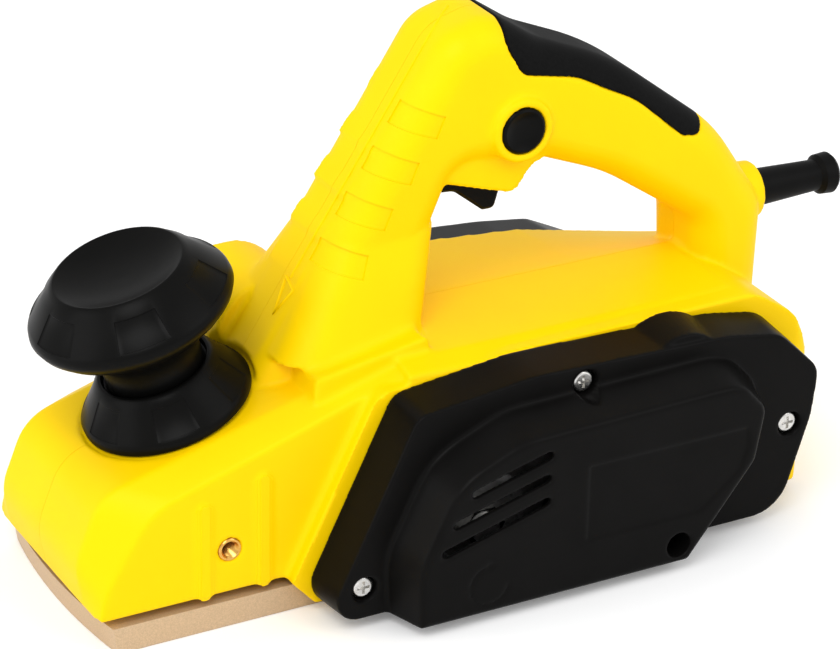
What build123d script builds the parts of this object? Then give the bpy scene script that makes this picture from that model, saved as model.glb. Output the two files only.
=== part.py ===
"""Electric hand planer, 82 mm, as an assembly of separate pieces.

Millimetres. The origin is the middle of the rear sole's flat face. +X runs to the cord end, -X is the
planing direction, -Y is the belt side, +Y the motor side, and +Z is up.
"""
from build123d import *
from math import cos, radians, sin
import os

os.makedirs("parts", exist_ok=True)

# ---------------------------------------------------------------- driving dimensions
SOLE_W = 82.0            # planing width
SOLE_T = 6.0             # rear sole plate
SHOE_T = 9.2             # front shoe plate
SHOE_TRAVEL = 2.5        # depth of cut range, along the knob's axis
SHOE_GAP = 3.3           # air between the shoe and the nose, at rest
TOE_X = -198.0           # corners of the front shoe's toe
TOE_BOW = 3.5            # how far the toe's middle stands ahead of its corners
BODY_REAR_X = 61.0
SOLE_REAR_X = 56.0
BODY_HALF_W = 46.0       # where the side covers seat
NOSE_HALF_W = 41.0
CHAMBER_HALF_W = 41.8    # walls beside the drum
BODY_TOP_Z = 80.0
WALL = 3.0
HANDLE_HALF_W = 19.0
HANDLE_ROUND = 11.0

DRUM_X, DRUM_Z = -78.0, 28.0
DRUM_R = 27.0            # drum body
BLADE_TOP_R = 27.5       # blade edges, just short of the rear sole's plane
SOLE_CLEAR_R = 29.5      # the rear sole is relieved to this radius
SHOE_CLEAR_R = 30.2      # and the shoe, which also moves
CHAMBER_R = 31.0
DRUM_LEN = 82.0
DRUM_SHAFT_R = 5.0

MOTOR_X, MOTOR_Z = 20.0, 44.0
STATOR_R = 27.5
ROTOR_R = 17.0
AIR_GAP = 0.6
STACK_Y0, STACK_Y1 = -12.0, 22.0
MOTOR_SHAFT_R = 4.0
FAN_R = 26.0

BELT_Y0, BELT_Y1 = -59.8, -51.0   # pulleys on the belt side
DRUM_PULLEY_R = 18.0
MOTOR_PULLEY_R = 10.0
BELT_T = 2.4

BRUSH_Y, HOLDER_W, HOLDER_R1 = 38.3, 8.4, 28.5   # brush holders, and how far out they reach

PLATE_Y0, PLATE_Y1 = -50.0, -46.0  # bearing plate
DRUM_BRG_R, DRUM_BRG_W = 13.0, 8.0
MOTOR_BRG_R, MOTOR_BRG_W = 11.0, 7.0

BAND_Y = -63.0           # face of the belt cover's flat band
BULGE_Y = -78.0          # face of its raised part
COVER_WALL = 2.5
COVER_BOTTOM_Z = 4.0
MOTOR_COVER_Y = 68.0

KNOB_TILT = 18.0         # degrees, top leaning to the toe
KNOB_X, KNOB_Z = -159.4, 61.6     # where the knob's axis leaves the nose
CAP_R = 34.0
DIAL_R = 28.5
STEM_R = 16.5
SPINDLE_R = 4.0

FIT = 0.05               # running fit, each side
GAP = 0.3                # between parts that move past each other


def side(y):
    """A sketch plane facing the belt side at this y: x is +X and y is +Z."""
    return Plane.XZ.offset(-y)


def knob_plane(height):
    """A plane square to the knob's axis, this far above the nose."""
    t = radians(KNOB_TILT)
    axis = Vector(-sin(t), 0, cos(t))
    return Plane(origin=Vector(KNOB_X, 0, KNOB_Z) + axis * height, x_dir=(cos(t), 0, sin(t)), z_dir=axis)


def ring_between(x, z, r_out, r_in, y0, y1, mode=Mode.ADD):
    """A ring or a disc about an axis along Y, from y0 to y1 (y0 < y1)."""
    with BuildSketch(side(y1)) as disc:
        with Locations((x, z)):
            Circle(r_out)
            if r_in > 0:
                Circle(r_in, mode=Mode.SUBTRACT)
    extrude(disc.sketch, amount=y1 - y0, mode=mode)


def on_axis(x, z, y):
    """A sketch plane facing the belt side at this y, its middle on the axis through (x, z)."""
    return Plane(origin=(x, y, z), x_dir=(1, 0, 0), z_dir=(0, -1, 0))


def strap(r_drum, r_motor, y0, y1, mode=Mode.ADD):
    """A slab round both axes, the drum's and the motor's, from y0 to y1."""
    with BuildSketch(side(y1)) as band:
        with Locations((DRUM_X, DRUM_Z)):
            Circle(r_drum)
        with Locations((MOTOR_X, MOTOR_Z)):
            Circle(r_motor)
        make_hull()
    extrude(band.sketch, amount=y1 - y0, mode=mode)


def radial_disc(turn, y, radius, r0, r1, mode=Mode.ADD):
    """A disc on a radius of the drum: the radius is at this angle, the disc runs from r0 to r1."""
    outward = Vector(cos(radians(turn)), 0, sin(radians(turn)))
    tangent = Vector(-sin(radians(turn)), 0, cos(radians(turn)))
    with BuildSketch(Plane(origin=Vector(DRUM_X, y, DRUM_Z) + outward * r0, x_dir=tangent, z_dir=outward)) as disc:
        with Locations((-BLADE_T / 2, 0)):
            Circle(radius)
    extrude(disc.sketch, amount=r1 - r0, mode=mode)


def coil_spring(base, radius, wire, height, turns):
    """A round wire spring that stands on the plane base; height is from the first to the last wire centre."""
    with BuildPart() as spring:
        with BuildLine() as path:
            Helix(pitch=height / turns, height=height, radius=radius, center=base.origin, direction=base.z_dir)
        with BuildSketch(Plane(origin=path.line @ 0, z_dir=path.line % 0)):
            Circle(wire / 2)
        sweep()
    return spring.part


# ---------------------------------------------------------------- the handle's loop, shared by the shells and the grip
HANDLE_OUTLINE = [
    (-143, 60), (-67.5, 176.5), (-50, 181.5), (-32, 169.5), (-2.7, 157.4), (38, 126.5), (58, 97), (57, 60),
]
HANDLE_OUTLINE_R = [17, 14, 40, 100, 60, 16]
OPENING_OUTLINE = [(-79, 60), (-75.5, 102), (-63, 131.5), (-30, 127.5), (-5, 117.5), (30.5, 93.5), (32.6, 60)]
OPENING_OUTLINE_R = [60, 9, 14, 80, 9]


def arch(points, radii):
    """A line through the points, its inner corners rounded to these radii, closed by a straight foot."""
    FilletPolyline(*points, radius=radii)
    Line(points[-1], points[0])


def handle_loop(inset):
    """The handle's loop as a solid, with its whole skin this far inside the outside surface."""
    with BuildPart() as loop:
        with BuildSketch(Plane.XZ):
            with BuildLine():
                arch(HANDLE_OUTLINE, HANDLE_OUTLINE_R)
            make_face()
            if inset > 0:
                offset(amount=-inset, kind=Kind.ARC, mode=Mode.REPLACE)
            with BuildLine():
                arch(OPENING_OUTLINE, OPENING_OUTLINE_R)
            if inset > 0:
                with BuildSketch(mode=Mode.PRIVATE) as hole:
                    with BuildLine():
                        arch(OPENING_OUTLINE, OPENING_OUTLINE_R)
                    make_face()
                    offset(amount=inset, kind=Kind.ARC, mode=Mode.REPLACE)
                add(hole.sketch, mode=Mode.SUBTRACT)
            else:
                make_face(mode=Mode.SUBTRACT)
        extrude(amount=HANDLE_HALF_W - inset, both=True)
        rims = loop.faces().filter_by(Axis.Y).edges().filter_by(lambda e: e.center().Z > 61 + inset)
        fillet(rims, HANDLE_ROUND - inset)
    return loop.part


# ---------------------------------------------------------------- housing, made whole and then parted down the middle
NOSE_Z = SHOE_T + SHOE_GAP
BODY_FLOOR_Z = SOLE_T
CHEEK_Z = 3.0                      # cheeks hang beside the shoe and the sole
DUCT_X, DUCT_Z = -117.0, 71.0      # chip outlet, an axis along Y
DUCT_R, DUCT_WALL = 17.0, 3.5
DUCT_END_Y = 46.0
GUARD_Z = 94.0                     # cord guard, an axis along X
GUARD_ROOT_R, GUARD_FLANGE_R, GUARD_SEAT_X = 6.6, 9.5, 53.0
INSERT_X, INSERT_Z = -157.1, 27.6
INSERT_R, INSERT_BORE_R, INSERT_LEN = 4.0, 2.5, 11.0
LOCK_X, LOCK_Z, LOCK_R = -42.0, 142.5, 8.0
CAVITY_X0, CAVITY_X1 = -42.0, BODY_REAR_X - WALL
CAVITY_Z0, CAVITY_Z1 = BODY_FLOOR_Z + WALL + 0.5, BODY_TOP_Z - WALL
CAVITY_HALF_W = BODY_HALF_W - WALL
REAR_CORNER_R = 9.0
PANEL_COUNT, PANEL_PITCH = 4, (-9.2, -14.2)
PANEL_FIRST = (-79.5, 151.6)
RIBS = [(-166.0, 46.0), (-145.2, 52.0)]   # x, top
RIB_FOOT = 11.3
HOUSING_SCREWS = [(-60.5, 166.5), (14.0, 124.0), (-99.0, 99.0), (-48.5, 68.8), (53.5, 22.0), (-186.0, 23.0)]
SCREW_R, SCREW_HEAD_R, BOSS_R = 2.0, 3.7, 5.4
TAP_R = 1.6                        # small screws that hold the covers and the plate
SOLE_SCREW_XY = [(-30, -30), (-30, 30), (46, -30), (46, 30)]
COVER_SCREWS = [(-40.8, 70.5), (-120.0, 14.7), (40.4, 36.7), (-11.2, 10.7)]
COVER_BOSS_DEPTH = [11, 4.4, 5, 11]       # the second stops above the shoe, the third in front of the fan
COVER_HOLE_DEPTH = [10.6, 10.6, 4.6, 10.6]
MOTOR_COVER_SCREWS = [(-45.5, 18.0), (-45.5, 56.0), (50.0, 34.0)]
PLATE_SCREWS = [(-44.5, 21.0), (-44.5, 44.0), (2.5, MOTOR_Z)]
CLAMP_X, CLAMP_ZS = 43.0, (86.5, 101.5)
HOUSING_HEAD_Y = 8.0
SWITCH_HALF_W = 9.3

NOSE_CREST_Y = 30.0                # the nose is full to here and slopes to its flanks beyond
NOSE_CREST = [(-203, NOSE_Z), (-206, 28), (-197, 51), (-92, BODY_TOP_Z)]
NOSE_CREST_R = [20, 17]
NOSE_FLANK = [(-202.3, NOSE_Z), (-200, 22), (-184, 47.6), (-92, 77.1)]
NOSE_FLANK_R = [20, 25]

FALL_SECTIONS = [(-100.0, 80.4), (-75.0, 79.0), (-5.0, 73.0), (BODY_REAR_X + 2, 58.0)]   # x, height at the far edge


def far_fall(drop):
    """Cut away what lies above the roof's far slope, this far below the outside surface."""
    sections = []
    for x, z in FALL_SECTIONS:
        with BuildSketch(Plane.YZ.offset(x)) as above:
            with BuildLine():
                Polyline(
                    (0, 80.6 - drop), (BODY_HALF_W + 1, z - drop), (BODY_HALF_W + 1, 110), (0, 110), (0, 80.6 - drop),
                )
            make_face()
        sections.append(above.sketch)
    loft(sections, ruled=True, mode=Mode.SUBTRACT)


def nose_section(y, outline, radii):
    """The nose's outline at this y, closed behind and below."""
    with BuildSketch(side(y)) as section:
        with BuildLine():
            FilletPolyline(*outline, radius=radii)
            Polyline(outline[-1], (outline[-1][0], NOSE_Z), outline[0])
        make_face()
    return section.sketch


with BuildPart() as wide_body:
    with BuildSketch(Plane.XZ):
        with BuildLine():
            FilletPolyline(
                (-129, CHEEK_Z), (-137.5, NOSE_Z), (-107.5, 73.5), (-60, 78.2), (35, 79.2), (52, 68.3),
                (BODY_REAR_X, 48), (SOLE_REAR_X + 1, CHEEK_Z), radius=[1, 9, 40, 16, 20, 12],
            )
            Line((SOLE_REAR_X + 1, CHEEK_Z), (-129, CHEEK_Z))
        make_face()
    extrude(amount=BODY_HALF_W, both=True)
    with BuildSketch(Plane.XY):
        with Locations(((BODY_REAR_X - 160) / 2, 0)):
            RectangleRounded(BODY_REAR_X + 160, 2 * BODY_HALF_W, REAR_CORNER_R)
    extrude(amount=100, mode=Mode.INTERSECT)

with BuildPart() as motor_room:
    with BuildSketch(Plane.XZ):
        with BuildLine():
            FilletPolyline(
                (CAVITY_X0, CAVITY_Z0), (CAVITY_X0, 60), (-36, CAVITY_Z1), (30, CAVITY_Z1 - 1.6), (47, 62),
                (CAVITY_X1, 46), (SOLE_REAR_X - 2, CAVITY_Z0), radius=[4, 4, 12, 16, 8], close=False,
            )
            Line((SOLE_REAR_X - 2, CAVITY_Z0), (CAVITY_X0, CAVITY_Z0))
        make_face()
    extrude(amount=CAVITY_HALF_W, both=True)
    with BuildSketch(Plane.XY):
        with Locations(((CAVITY_X0 + CAVITY_X1) / 2, 0)):
            RectangleRounded(CAVITY_X1 - CAVITY_X0, 2 * CAVITY_HALF_W, REAR_CORNER_R - WALL)
    extrude(amount=100, mode=Mode.INTERSECT)
    far_fall(WALL)

with BuildPart() as motor_plates:
    for y0, y1, r_hole in ((-10, -7, STATOR_R), (17, 20, STATOR_R), (33.5, 43, ROTOR_R)):
        with BuildSketch(side(y1)) as plate:
            with Locations(((CAVITY_X0 + CAVITY_X1) / 2, (CAVITY_Z0 + CAVITY_Z1) / 2)):
                Rectangle(CAVITY_X1 - CAVITY_X0, CAVITY_Z1 - CAVITY_Z0)
            with Locations((MOTOR_X, MOTOR_Z)):
                Circle(r_hole, mode=Mode.SUBTRACT)
        extrude(plate.sketch, amount=y1 - y0)
    add(motor_room.part, mode=Mode.INTERSECT)
    # room for the brush holders in the last plate
    with Locations((MOTOR_X, BRUSH_Y, MOTOR_Z)):
        Box(2 * HOLDER_R1, HOLDER_W, HOLDER_W, mode=Mode.SUBTRACT)

# the handle is hollow above the chip duct and down the rear leg into the motor room
with BuildPart() as hollow:
    add(handle_loop(5))
    with Locations((-104, 0, 74)):
        Box(66, 60, 36, mode=Mode.SUBTRACT)

with BuildPart() as housing:
    # nose and core of the body, as wide as the sole
    extrude(nose_section(NOSE_CREST_Y, NOSE_CREST, NOSE_CREST_R), amount=2 * NOSE_CREST_Y)
    for s in (-1, 1):
        crest = nose_section(s * NOSE_CREST_Y, NOSE_CREST, NOSE_CREST_R)
        flank = nose_section(s * NOSE_HALF_W, NOSE_FLANK, NOSE_FLANK_R)
        loft([crest, flank], ruled=True)
    # wider body between the two side covers
    add(wide_body.part)
    # roof, a little higher along the middle
    with BuildSketch(Plane.YZ.offset(-96)):
        with BuildLine():
            Polyline(
                (-45.5, 66), (-45.5, 77), (-37, 79.4), (0, 80.5), (37, 79.4), (45.5, 77), (45.5, 66), (-45.5, 66),
            )
        make_face()
    extrude(amount=96 + 30)
    # level step under the front leg
    with BuildSketch(Plane.XY.offset(60)):
        with BuildLine():
            FilletPolyline(
                (-84, -36), (-123.5, -36), (-131.5, -29), (-131.5, 29), (-123.5, 36), (-84, 36),
                radius=3, close=True,
            )
        make_face()
    extrude(amount=BODY_TOP_Z - 60, taper=3)
    # the roof falls away to the motor side, more so at the rear
    far_fall(0)
    # handle and both legs
    add(handle_loop(0))
    # the front leg spreads into its step
    with BuildSketch(Plane.XY.offset(78)):
        with Locations((-104.5, 0)):
            RectangleRounded(52, 59, 13)
    with BuildSketch(Plane.XY.offset(113)):
        with Locations((-89, 0)):
            RectangleRounded(39, 2 * HANDLE_HALF_W - 0.6, 11)
    loft()
    # lip that shields the trigger
    with BuildSketch(Plane.XZ):
        with BuildLine():
            FilletPolyline(
                (-68, 142), (-69, 127), (-44, 119.2), (-40.8, 120), (-35.5, 127.5), (-20, 133), (-30, 142),
                radius=[2, 2.5, 1.5, 1, 8, 4, 2], close=True,
            )
        make_face()
    extrude(amount=15.5, both=True)
    # chip outlet, a spout that leaves on the motor side
    ring_between(DUCT_X, DUCT_Z, DUCT_R + DUCT_WALL, 0, 12, DUCT_END_Y)
    # boss round the cord guard
    with BuildSketch(Plane.YZ.offset(40)):
        with Locations((0, GUARD_Z)):
            Circle(11.5)
    extrude(amount=BODY_REAR_X + 1 - 40, taper=4)
    # collar round the lock button
    with BuildSketch(side(-HANDLE_HALF_W + 1)):
        with Locations((LOCK_X, LOCK_Z)):
            Circle(LOCK_R + 3.4)
    extrude(amount=3.2, taper=12)
    # bearing seats that stand out of the motor side
    ring_between(DRUM_X, DRUM_Z, 17, 0, 40, 53)
    ring_between(MOTOR_X, MOTOR_Z, MOTOR_BRG_R + 2.5, 0, 40, 57)

    # ---- inside
    # nose pocket over the shoe
    with BuildSketch(Plane.XZ):
        with BuildLine():
            FilletPolyline(
                (-199, NOSE_Z - 1), (-201, 21), (-196, 38), (-183, 48.5), (-144, 60), (-113, 38), (-113, NOSE_Z - 1),
                radius=[3, 14, 10, 4, 3], close=False,
            )
            Line((-113, NOSE_Z - 1), (-199, NOSE_Z - 1))
        make_face()
    extrude(amount=NOSE_HALF_W - 8.5, both=True, mode=Mode.SUBTRACT)
    # the shoe's tail and the sole run between the cheeks
    with BuildSketch(Plane.XY):
        with Locations(((-150 + BODY_REAR_X + 1) / 2, 0)):
            Rectangle(BODY_REAR_X + 1 + 150, 2 * (NOSE_HALF_W + GAP))
    extrude(amount=SOLE_T, mode=Mode.SUBTRACT)
    with BuildSketch(Plane.XY):
        with Locations(((-150 - 88) / 2, 0)):
            Rectangle(150 - 88, 2 * (NOSE_HALF_W + GAP))
    extrude(amount=NOSE_Z, mode=Mode.SUBTRACT)
    # drum chamber, open at the mouth
    ring_between(DRUM_X, DRUM_Z, CHAMBER_R, 0, -CHAMBER_HALF_W, CHAMBER_HALF_W, mode=Mode.SUBTRACT)
    # duct from the chamber up to the spout
    with BuildSketch(side(CHAMBER_HALF_W - 1)):
        with BuildLine():
            Polyline((-105, 40), (-124, 55), (-129, 60), (-112, 67), (-98, 69), (-84, 56), close=True)
        make_face()
    extrude(amount=2 * CHAMBER_HALF_W - 8, mode=Mode.SUBTRACT)
    ring_between(DUCT_X, DUCT_Z, DUCT_R, 0, 20, DUCT_END_Y + 1, mode=Mode.SUBTRACT)
    # motor room
    add(motor_room.part, mode=Mode.SUBTRACT)
    # the handle's hollow
    add(hollow.part, mode=Mode.SUBTRACT)
    # plates that hold the stator and the brush holders
    add(motor_plates.part)
    # bores: drum bearings, motor bearings, shafts
    ring_between(DRUM_X, DRUM_Z, DRUM_BRG_R, 0, CHAMBER_HALF_W - 1, 50.8, mode=Mode.SUBTRACT)
    ring_between(MOTOR_X, MOTOR_Z, MOTOR_BRG_R, 0, CAVITY_HALF_W - 0.5, 54.4, mode=Mode.SUBTRACT)
    ring_between(DRUM_X, DRUM_Z, 16.2, 0, -BODY_HALF_W - 1, -CHAMBER_HALF_W + 1, mode=Mode.SUBTRACT)
    ring_between(MOTOR_X, MOTOR_Z, 14.2, 0, -BODY_HALF_W - 1, -CAVITY_HALF_W + 1, mode=Mode.SUBTRACT)
    # the knob's spindle: a tower in the nose, bored for the spindle and wide for the spring's top
    with BuildSketch(knob_plane(-2)):
        Circle(10)
    extrude(amount=-20)
    with BuildSketch(knob_plane(4)):
        Circle(SPINDLE_R + FIT)
    extrude(amount=-34, mode=Mode.SUBTRACT)
    # seat of the dial, sunk a little into the sloping top
    with BuildSketch(knob_plane(0)):
        Circle(DIAL_R + 1.2)
    extrude(amount=12, mode=Mode.SUBTRACT)
    # brass inserts for the fence
    for s in (-1, 1):
        y0, y1 = sorted((s * NOSE_HALF_W, s * (NOSE_HALF_W - INSERT_LEN)))
        ring_between(INSERT_X, INSERT_Z, INSERT_R + 4, 0, y0, y1)
        ring_between(INSERT_X, INSERT_Z, INSERT_R, 0, y0 - 0.01, y1 + 0.01, mode=Mode.SUBTRACT)
    # ribs on the sides of the nose, each a narrow rib on a broad one
    for s in (-1, 1):
        for x, top in RIBS:
            for width, proud in ((6.0, 0.4), (3.4, 0.9)):
                with BuildSketch(side(s * NOSE_HALF_W)):
                    with Locations((x, (top + RIB_FOOT) / 2)):
                        SlotOverall(top - RIB_FOOT, width, rotation=90)
                extrude(amount=-s * proud)
    # lock button's bore
    ring_between(LOCK_X, LOCK_Z, LOCK_R + FIT, 0, -HANDLE_HALF_W - 4, -10, mode=Mode.SUBTRACT)
    # trigger's slot
    with BuildSketch(Plane.XZ):
        with BuildLine():
            Polyline((-68.0, 108), (-66.6, 137.5), (-40.9, 137.5), (-42.4, 108), close=True)
        make_face()
    extrude(amount=9.0, both=True, mode=Mode.SUBTRACT)
    # cord guard's bore and the seat of its flange
    with BuildSketch(Plane.YZ.offset(40)):
        with Locations((0, GUARD_Z)):
            Circle(GUARD_ROOT_R)
    extrude(amount=30, mode=Mode.SUBTRACT)
    with BuildSketch(Plane.YZ.offset(40)):
        with Locations((0, GUARD_Z)):
            Circle(GUARD_FLANGE_R)
    extrude(amount=GUARD_SEAT_X - 40, mode=Mode.SUBTRACT)
    # panels pressed into the flanks of the front leg
    for s in (-1, 1):
        for i in range(PANEL_COUNT):
            px, pz = PANEL_FIRST[0] + i * PANEL_PITCH[0], PANEL_FIRST[1] + i * PANEL_PITCH[1]
            with BuildSketch(side(s * (HANDLE_HALF_W + 3))):
                with Locations((px, pz)):
                    with BuildLine():
                        Polyline((-7.4, 6.6), (9.6, 0.4), (6.6, -6.8), (-12.4, -0.4), close=True)
                    make_face()
            extrude(amount=s * 3.5, mode=Mode.SUBTRACT)
    # bosses and holes for the screws: under the sole, then those that close the two shells
    for x, y in SOLE_SCREW_XY:
        with BuildSketch(Plane.XY.offset(BODY_FLOOR_Z)):
            with Locations((x, y)):
                Circle(BOSS_R)
        extrude(amount=11)
        with BuildSketch(Plane.XY.offset(BODY_FLOOR_Z)):
            with Locations((x, y)):
                Circle(SCREW_R)
        extrude(amount=9, mode=Mode.SUBTRACT)
    for x, z in HOUSING_SCREWS:
        half = 14.2 if z > 90 else (CAVITY_HALF_W + 1 if x > -100 else NOSE_HALF_W - 5)
        ring_between(x, z, BOSS_R, 0, -half, half)
        ring_between(x, z, SCREW_R, 0, -half + 2, HOUSING_HEAD_Y + 1, mode=Mode.SUBTRACT)
        ring_between(x, z, SCREW_HEAD_R + 0.2, 0, HOUSING_HEAD_Y, BODY_HALF_W + 12, mode=Mode.SUBTRACT)
    for (x, z), boss, hole in zip(COVER_SCREWS, COVER_BOSS_DEPTH, COVER_HOLE_DEPTH):
        ring_between(x, z, TAP_R + 2.8, 0, -BODY_HALF_W, -BODY_HALF_W + boss)
        ring_between(x, z, TAP_R, 0, -BODY_HALF_W - 1, -BODY_HALF_W + hole, mode=Mode.SUBTRACT)
    for x, z in MOTOR_COVER_SCREWS:
        ring_between(x, z, TAP_R + 1.2, 0, BODY_HALF_W - 10, BODY_HALF_W)
        ring_between(x, z, TAP_R, 0, BODY_HALF_W - 9, BODY_HALF_W + 1, mode=Mode.SUBTRACT)
    for x, z in PLATE_SCREWS:
        ring_between(x, z, TAP_R + 2.4, 0, -CAVITY_HALF_W, -CAVITY_HALF_W + 2)
        ring_between(x, z, TAP_R, 0, -BODY_HALF_W - 1, -CAVITY_HALF_W + 2, mode=Mode.SUBTRACT)
    # posts that hold the switch, and the two under the cord clamp
    for s in (-1, 1):
        y0, y1 = sorted((s * SWITCH_HALF_W, s * 15))
        ring_between(-57, 148, 5, 0, y0, y1)
    for z in CLAMP_ZS:
        ring_between(CLAMP_X, z, 3.4, 0, 7, 15)
        ring_between(CLAMP_X, z, TAP_R, 0, 6, 13, mode=Mode.SUBTRACT)

# ---------------------------------------------------------------- soft grip let into the top of the handle
GRIP_T = 2.2

with BuildPart() as handle_grip:
    with BuildSketch(Plane.XZ):
        with BuildLine():
            FilletPolyline(
                (-47.5, 186), (-48, 172), (-42, 161), (-22, 157), (2, 144.5), (20.5, 128.6), (27.5, 127), (40, 141),
                (60, 160), (20, 200), radius=[2, 8, 6, 30, 40, 4, 4, 10, 2, 2], close=True,
            )
        make_face()
    extrude(amount=HANDLE_HALF_W + 2, both=True)
    add(handle_loop(0), mode=Mode.INTERSECT)
    add(handle_loop(GRIP_T), mode=Mode.SUBTRACT)
handle_grip.part.label = "handle_grip"
export_step(handle_grip.part, "parts/handle_grip.step")

with BuildPart() as left_housing:
    add(housing.part)
    add(handle_grip.part, mode=Mode.SUBTRACT)
    split(bisect_by=Plane.XZ, keep=Keep.TOP)
left_housing.part.label = "left_housing"
export_step(left_housing.part, "parts/left_housing.step")

with BuildPart() as right_housing:
    add(housing.part)
    add(handle_grip.part, mode=Mode.SUBTRACT)
    split(bisect_by=Plane.XZ, keep=Keep.BOTTOM)
right_housing.part.label = "right_housing"
export_step(right_housing.part, "parts/right_housing.step")

with BuildPart() as housing_screws:
    for x, z in HOUSING_SCREWS:
        half = 14.2 if z > 90 else (CAVITY_HALF_W + 1 if x > -100 else NOSE_HALF_W - 5)
        ring_between(x, z, SCREW_R, 0, -half + 4, HOUSING_HEAD_Y)
        ring_between(x, z, SCREW_HEAD_R, 0, HOUSING_HEAD_Y, HOUSING_HEAD_Y + 2.6)
housing_screws.part.label = "housing_screws"
export_step(housing_screws.part, "parts/housing_screws.step")

with BuildPart() as guide_inserts:
    for s in (-1, 1):
        y0, y1 = sorted((s * (NOSE_HALF_W - 0.2), s * (NOSE_HALF_W - INSERT_LEN)))
        ring_between(INSERT_X, INSERT_Z, INSERT_R, INSERT_BORE_R, y0, y1)
guide_inserts.part.label = "guide_inserts"
export_step(guide_inserts.part, "parts/guide_inserts.step")

# ---------------------------------------------------------------- shoe and sole
SHOE_REAR_X = DRUM_X - 11.0
SOLE_FRONT_X = DRUM_X + 11.0
STUD_R = 8.0
STUD_TOP, STUD_NUT_H = -30.0, 8.0      # along the knob's axis
TOWER_BOTTOM = -22.0
NUT_AF = 12.0
SPRING_R, SPRING_WIRE = 6.4, 0.7

with BuildPart() as front_shoe:
    for z, back in ((0, 1.4), (SHOE_T, 0)):
        with BuildSketch(Plane.XY.offset(z)):
            with BuildLine():
                x = TOE_X + back
                ThreePointArc((x, -NOSE_HALF_W), (x - TOE_BOW, 0), (x, NOSE_HALF_W))
                Polyline((x, NOSE_HALF_W), (SHOE_REAR_X, NOSE_HALF_W), (SHOE_REAR_X, -NOSE_HALF_W), (x, -NOSE_HALF_W))
            make_face()
    loft()
    with BuildSketch(knob_plane(STUD_TOP)) as stud:
        Circle(STUD_R)
    extrude(stud.sketch, amount=-30)
    with Locations((KNOB_X, 0, -20)):
        Box(120, 100, 40, mode=Mode.SUBTRACT)
    ring_between(DRUM_X, DRUM_Z, SHOE_CLEAR_R, 0, -NOSE_HALF_W - 1, NOSE_HALF_W + 1, mode=Mode.SUBTRACT)
    with BuildSketch(knob_plane(STUD_TOP)) as nut_seat:
        RegularPolygon(radius=NUT_AF / 2, side_count=6, major_radius=False)
    extrude(nut_seat.sketch, amount=-STUD_NUT_H, mode=Mode.SUBTRACT)
    with BuildSketch(knob_plane(STUD_TOP - STUD_NUT_H)) as stud_hole:
        Circle(SPINDLE_R + GAP)
    extrude(stud_hole.sketch, amount=-10, mode=Mode.SUBTRACT)
front_shoe.part.label = "front_shoe"
export_step(front_shoe.part, "parts/front_shoe.step")

with BuildPart() as shoe_nut:
    with BuildSketch(knob_plane(STUD_TOP)) as hexagon:
        RegularPolygon(radius=NUT_AF / 2, side_count=6, major_radius=False)
        Circle(SPINDLE_R + FIT, mode=Mode.SUBTRACT)
    extrude(hexagon.sketch, amount=-STUD_NUT_H)
shoe_nut.part.label = "shoe_nut"
export_step(shoe_nut.part, "parts/shoe_nut.step")

with BuildPart() as shoe_spring:
    add(coil_spring(knob_plane(STUD_TOP + SPRING_WIRE / 2), SPRING_R, SPRING_WIRE, 8 - SPRING_WIRE, 3.5))
shoe_spring.part.label = "shoe_spring"
export_step(shoe_spring.part, "parts/shoe_spring.step")

SOLE_HEAD_R, SOLE_HEAD_H = 4.1, 2.2

with BuildPart() as rear_sole:
    with BuildSketch(Plane.XY):
        with Locations(((SOLE_FRONT_X + SOLE_REAR_X) / 2, 0)):
            RectangleRounded(SOLE_REAR_X - SOLE_FRONT_X, SOLE_W, 2)
    extrude(amount=SOLE_T)
    ring_between(DRUM_X, DRUM_Z, SOLE_CLEAR_R, 0, -NOSE_HALF_W - 1, NOSE_HALF_W + 1, mode=Mode.SUBTRACT)
    for x, y in SOLE_SCREW_XY:
        with Locations((x, y, SOLE_HEAD_H / 2)):
            Cone(SOLE_HEAD_R + 0.1, SCREW_R, SOLE_HEAD_H, mode=Mode.SUBTRACT)
        with Locations((x, y, SOLE_T / 2)):
            Cylinder(SCREW_R, SOLE_T + 1, mode=Mode.SUBTRACT)
rear_sole.part.label = "rear_sole"
export_step(rear_sole.part, "parts/rear_sole.step")

with BuildPart() as sole_screws:
    for x, y in SOLE_SCREW_XY:
        with Locations((x, y, 0.2 + (SOLE_HEAD_H - 0.2) / 2)):
            Cone(SOLE_HEAD_R - 0.2, SCREW_R, SOLE_HEAD_H - 0.2)
        with Locations((x, y, SOLE_HEAD_H + 6)):
            Cylinder(SCREW_R, 12)
        with Locations((x, y, 0.6)):
            Box(5, 0.9, 1.0, mode=Mode.SUBTRACT)
            Box(0.9, 5, 1.0, mode=Mode.SUBTRACT)
sole_screws.part.label = "sole_screws"
export_step(sole_screws.part, "parts/sole_screws.step")

# ---------------------------------------------------------------- depth knob
KNOB_SECTION = Plane(origin=(KNOB_X, 0, KNOB_Z), x_dir=(cos(radians(KNOB_TILT)), 0, sin(radians(KNOB_TILT))),
                     z_dir=(0, -1, 0))
KNOB_AXIS = Axis((KNOB_X, 0, KNOB_Z), knob_plane(0).z_dir)
RIM_H, DISH_H, DISH_R = 39.6, 54.6, 21.4
SPINDLE_TOP, SPINDLE_BOTTOM = 34.0, -42.0
NOTCHES = 12

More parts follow.
